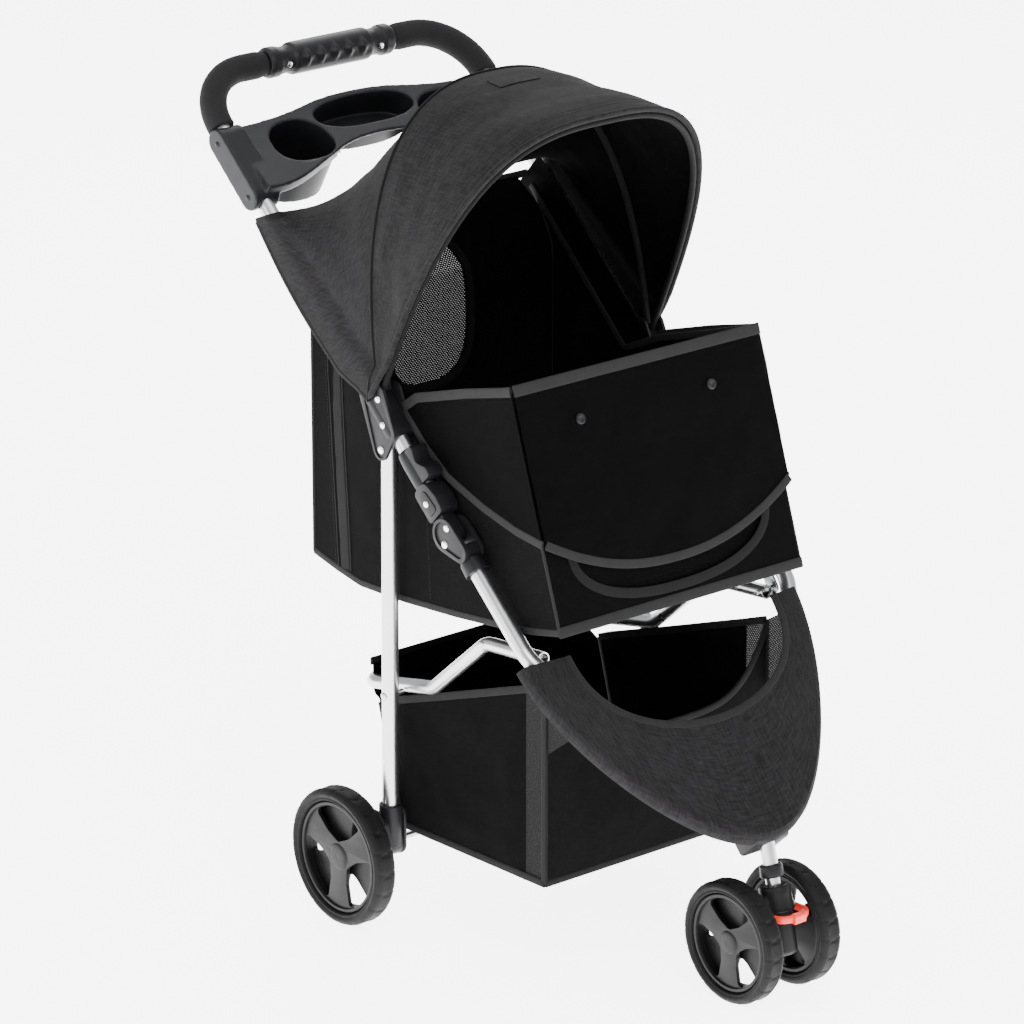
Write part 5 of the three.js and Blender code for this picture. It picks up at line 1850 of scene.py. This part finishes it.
def flap():
    """The dark net flap that hangs from the front rim, with its bound U edge."""
    def place(v, u):
        x = FLAP_HALF * (1 - 2 * u)
        down = flap_depth(x) * v
        wave = 1.8 * ripple((x, down, 0), 90, 11) * min(1, down / 40)
        off = 1.2 + 2.0 * (1 - (x / FLAP_HALF) ** 2) * math.sin(math.pi * v) + wave
        return X_AXIS * x + FLAP_AT + FLAP_DOWN * down + FLAP_OUT * off

    grid = grid_of(36, 60, place)
    piece = make("flap_net", [cloth(grid, 0.9)], DARK_NET, "flap", ["front_flap"])
    edge = [Vector(p) + FLAP_OUT * 0.4 for p in grid[-1]]
    binding = make("flap_binding", [tape_on(edge, FLAP_OUT, 10, 2.6)], BINDING, "flap")
    top = [Vector((FLAP_HALF * (1 - k / 29.5), *(FLAP_AT + FLAP_OUT * 1.4)[1:])) for k in range(60)]
    rim = make("flap_rim_tape", [tape_on(top, FLAP_OUT, 13, 2.8)], BINDING, "flap")
    studs = []
    turn = Matrix.Translation(FLAP_AT) @ Matrix.Rotation(math.pi / 2 - FLAP_LEAN, 4, "X")
    for x in (-96, 92):
        head = lathe(
            [(0.01, -1), (6.2, -1), (6.2, 0.8), (4.6, 2.2), (2.4, 2.0), (0.01, 1.5)][::-1], 28, axis="Z",
        )
        studs.append(moved(head, turn @ Matrix.Translation((x, -46, 3.2))))
    make("flap_snaps", studs, PLASTIC, "flap")


def flap_wing(side, name):
    """The part of the front that wraps back along the cabin side to the hinge."""
    x = CABIN_HALF + 4.2
    corner_low = FLAP_AT + FLAP_DOWN * flap_depth(FLAP_HALF)
    tip = (-46, 610)
    top = [(x, FLAP_AT.y + 2, FLAP_AT.z - 1), (x, -150, 651), (x, -66, 625), (x + 1, *tip)]
    low = [
        (x, corner_low.y + 2, corner_low.z), (x, -235, 517), (x, -180, 529), (x, -120, 548), (x, -80, 575),
        (x + 1, tip[0], tip[1] - 4),
    ]
    front = [top[0], low[0]]
    back = [top[-1], low[-1]]
    rows = coons(top, low, front, back, 18, 40)
    for i in range(18):
        for j in range(40):
            p = rows[i, j]
            p[0] += 0.8 * ripple(p, 60, 13 + side) * edge_fade(i / 17, j / 39)
    make(f"front_wing_{name}", sided([cloth(rows, 0.9)], side), DARK_NET, "front_frame")
    tapes = [tape_on(resampled(low, 50), X_AXIS, 10, 2.6), tape_on(resampled(top, 50), X_AXIS, 11, 2.8)]
    make(f"front_wing_binding_{name}", sided(tapes, side), BINDING, "front_frame")


# ---- basket -----------------------------------------------------------------------------------
def basket():
    """A box of cloth under the cabin, with net beside the apron and a dipped front edge."""
    x = BASKET_HALF + 1.2
    pieces = []
    for name, side in SIDES.items():
        low = side_line([(-232, 106), (-18, 105)], x)
        high = side_line([(-232, 331), (-93, 281), (-2, 249), (20, 240)], x)
        front = side_line([(-232, 106), (-232, 331)], x)
        rear = side_line([(-18, 105), (20, 240)], x)
        rows = coons(low, high, front, rear, 26, 30)
        for i in range(26):
            for j in range(30):
                fade = edge_fade(i / 25, j / 29)
                rows[i, j, 0] += fade * (2.0 + 2.0 * ripple(rows[i, j], 80, 17))
        panel = [cloth(rows, 1.6)]
        pieces.append(
            make(
                f"basket_wall_{name}", sided(panel, side), LINING, "front_frame", [f"basket_side_{name}"],
                slot="mesh_cloth",
            )
        )
        upper = coons(
            side_line([(-264, 112), (-232, 106)], x), side_line([(-264, 343), (-232, 331)], x),
            side_line([(-264, 112), (-264, 343)], x), side_line([(-232, 106), (-232, 331)], x), 40, 8,
        )
        wing = coons(
            side_line([(-322, 306), (-264, 262)], x), side_line([(-292, 360), (-264, 343)], x),
            side_line([(-322, 306), (-292, 360)], x), side_line([(-264, 262), (-264, 343)], x), 20, 10,
        )
        nets = [cloth(upper, 0.7), cloth(wing, 0.7)]
        pieces.append(make(f"basket_net_{name}", sided(nets, side), NET, "front_frame"))
        tapes = []
        outline = [
            (-264, 112), (-18, 105), (20, 240), (-2, 249), (-93, 281), (-232, 331), (-264, 343), (-264, 112),
        ]
        for start, end in zip(outline, outline[1:]):
            tapes.append(tape_on(side_run([start, end], x + 0.6, 16), X_AXIS, 9, 3.2))
        pieces.append(make(f"basket_side_binding_{name}", sided(tapes, side), PIPING, "front_frame"))

    def front(v, u):
        across = 1 - 2 * u
        return 161 * across, -265.5, 112 + (144 + 82 * abs(across) ** 5) * v

    rows = grid_of(28, 61, front)
    rows = wrinkled(bulged(rows, 3.0), 1.4, 90, 19, hold=edge_fade)
    # the basket front takes the darker canvas copy, whose darkness is painted shade under the cabin
    pieces.append(
        make("basket_front_panel", [cloth(rows, 2.0)], SHADED_CANVAS, "front_frame", ["basket_front"]),
    )
    edges = [tape_on(rows[i], Vector((0, -1, 0)), 8, 3.2) for i in (0, -1)]
    rows = cross_grid([(-17, 107), (21, 240), (37, 247), (38, 284)], 158.5, 30, 36)
    rows = wrinkled(rows, 1.5, 80, 23, hold=edge_fade)
    pieces.append(make("basket_rear_panel", [cloth(rows, 2.0)], LINING, "front_frame", ["basket_rear"]))
    rows = cross_grid([(-21, 103.5), (-262, 110)], 159, 30, 30)
    pieces.append(make("basket_floor_panel", [cloth(rows, 3.0)], LINING, "front_frame", ["basket_floor"]))
    for y, z in ((38.5, 284), (-18, 105)):
        line = [Vector((a, y, z)) for a in np.linspace(-161, 161, 50)]
        edges.append(tape_on(line, Vector((0, -1, 0)), 9, 3.2))
    pieces.append(make("basket_cross_binding", edges, PIPING, "front_frame"))
    for piece in pieces:
        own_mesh(piece)


# ---- apron ------------------------------------------------------------------------------------
def apron():
    """The U of cloth over the lower front leg; its outer edge wraps round the leg."""
    columns, rows_in = 72, 16

    def outer(turn):
        c = math.cos(turn)
        half = 203 - 22 * max(0, -c) ** 0.5
        return -half * c * (1 - 0.19 * math.sin(turn) ** 2), 12 + 256 * math.sin(turn) ** 1.2

    def inner(turn):
        return -150 * math.cos(turn), 14 + 116 * math.sin(turn) ** 0.85

    grid = []
    for i in range(rows_in):
        t = i / (rows_in - 1)
        row = []
        for k in range(columns + 1):
            turn = math.pi * k / columns
            (xo, do), (xi, di) = outer(turn), inner(turn)
            x, down = xi + (xo - xi) * t, di + (do - di) * t
            hang = math.sin(turn) ** 2
            off = 12.4 + (1.6 + 1.4 * ripple((x, down, 0), 85, 29)) * min(1, 5 * t) * hang
            row.append(Vector((x, -down, off)))
        grid.append(row)
    for wrap in (0.25, 0.5, 0.75, 1.0):
        row = []
        for k in range(columns + 1):
            turn = math.pi * k / columns
            xo, do = outer(turn)
            x1, d1 = outer(min(turn + 0.01, math.pi))
            x0, d0 = outer(max(turn - 0.01, 0))
            tangent = Vector((x1 - x0, d0 - d1, 0)).normalized()
            away = Vector((tangent.y, -tangent.x, 0))
            if away.dot(Vector((xo, -do + 60, 0))) < 0:
                away = -away
            a = wrap * math.pi * 0.62
            p = Vector((xo, -do, 12.4)) + away * 6.5 * math.sin(a) + Vector((0, 0, -11.5 * (1 - math.cos(a))))
            row.append(p)
        grid.append(row)
    placed = [[APRON_FRAME @ p for p in row] for row in grid]
    piece = make("apron_cloth", [cloth(placed, 1.8)], CANVAS, "front_frame", ["apron"])
    face = (APRON_FRAME.to_3x3() @ Vector((0, 0, 1))).normalized()
    edge = [Vector(p) + face * 0.3 for p in placed[0]]
    binding = make("apron_binding", [tape_on(edge, face, 9, 3.4)], BINDING, "front_frame")
    sewing = make("apron_stitching", [stitches(placed[2], face, lift=1.1)], THREAD, "front_frame")


def gusset(side, name):
    """The lining that closes the gap between the cabin side and the canopy, inside the handle tube."""
    def place(v, u):
        s = 8 + 262 * u
        fold = abs(math.sin(s / 9)) * max(0, math.sin(math.pi * v)) ** 0.5
        return (174.8 - fold - 2 * max(0, 3 * v - 2) ** 2, *on_slope(s, 60 * v - 32))

    rows = grid_of(16, 60, place)
    make(f"side_lining_{name}", sided([cloth(rows, 0.9)], side), LINING, "handle_frame")


for name, side in SIDES.items():
    cabin_side(side, name)
    gusset(side, name)
    flap_wing(side, name)
cabin_front_wall()
cabin_rear_wall()
cabin_floor()
cushion()
flap()
basket()
apron()


# ---- floor, light and camera ------------------------------------------------------------------
def stage():
    floor = bpy.data.meshes.new("floor")
    half = 12
    floor.from_pydata(
        [(-half, -half, 0), (half, -half, 0), (half, half, 0), (-half, half, 0)], [], [(0, 1, 2, 3)],
    )
    piece = bpy.data.objects.new("floor", floor)
    scene.collection.objects.link(piece)
    f = Finish("pale_floor", (0.93, 0.93, 0.93), 0.75, specular=0.15)
    f.set({"Emission Color": (1.0, 1.0, 1.0), "Emission Strength": 5.5})
    piece.data.materials.append(f.material)
    world = bpy.data.worlds.new("studio")
    world.use_nodes = True
    world.node_tree.nodes["Background"].inputs[0].default_value = (0.97, 0.98, 1.0, 1)
    world.node_tree.nodes["Background"].inputs[1].default_value = 0.95
    scene.world = world


def area_light(name, place, target, size, power):
    data = bpy.data.lights.new(name, "AREA")
    data.shape = "RECTANGLE"
    data.size, data.size_y = size
    data.energy = power
    lamp = bpy.data.objects.new(name, data)
    lamp.location = place
    aim = Vector(target) - Vector(place)
    lamp.rotation_euler = aim.to_track_quat("-Z", "Y").to_euler()
    scene.collection.objects.link(lamp)


def camera():
    data = bpy.data.cameras.new("camera")
    data.lens = 193.88
    data.sensor_width = 36
    data.clip_end = 60
    lens = bpy.data.objects.new("camera", data)
    lens.location = (-3.752, -4.502 + SHIFT * MM, 2.498)
    lens.rotation_euler = Euler((math.radians(70.611), 0, math.radians(-39.905)))
    scene.collection.objects.link(lens)
    scene.camera = lens


stage()
middle = (0, 0, 0.5)
area_light("key", (-1.2, -3.2, 3.4), middle, (2.4, 2.0), 120)
area_light("side", (-3.6, 0.4, 1.8), middle, (1.8, 2.6), 60)
area_light("rim", (2.2, 2.4, 2.6), middle, (2.0, 2.0), 70)
area_light("top", (0.2, 0.3, 3.6), middle, (2.6, 2.6), 60)
camera()
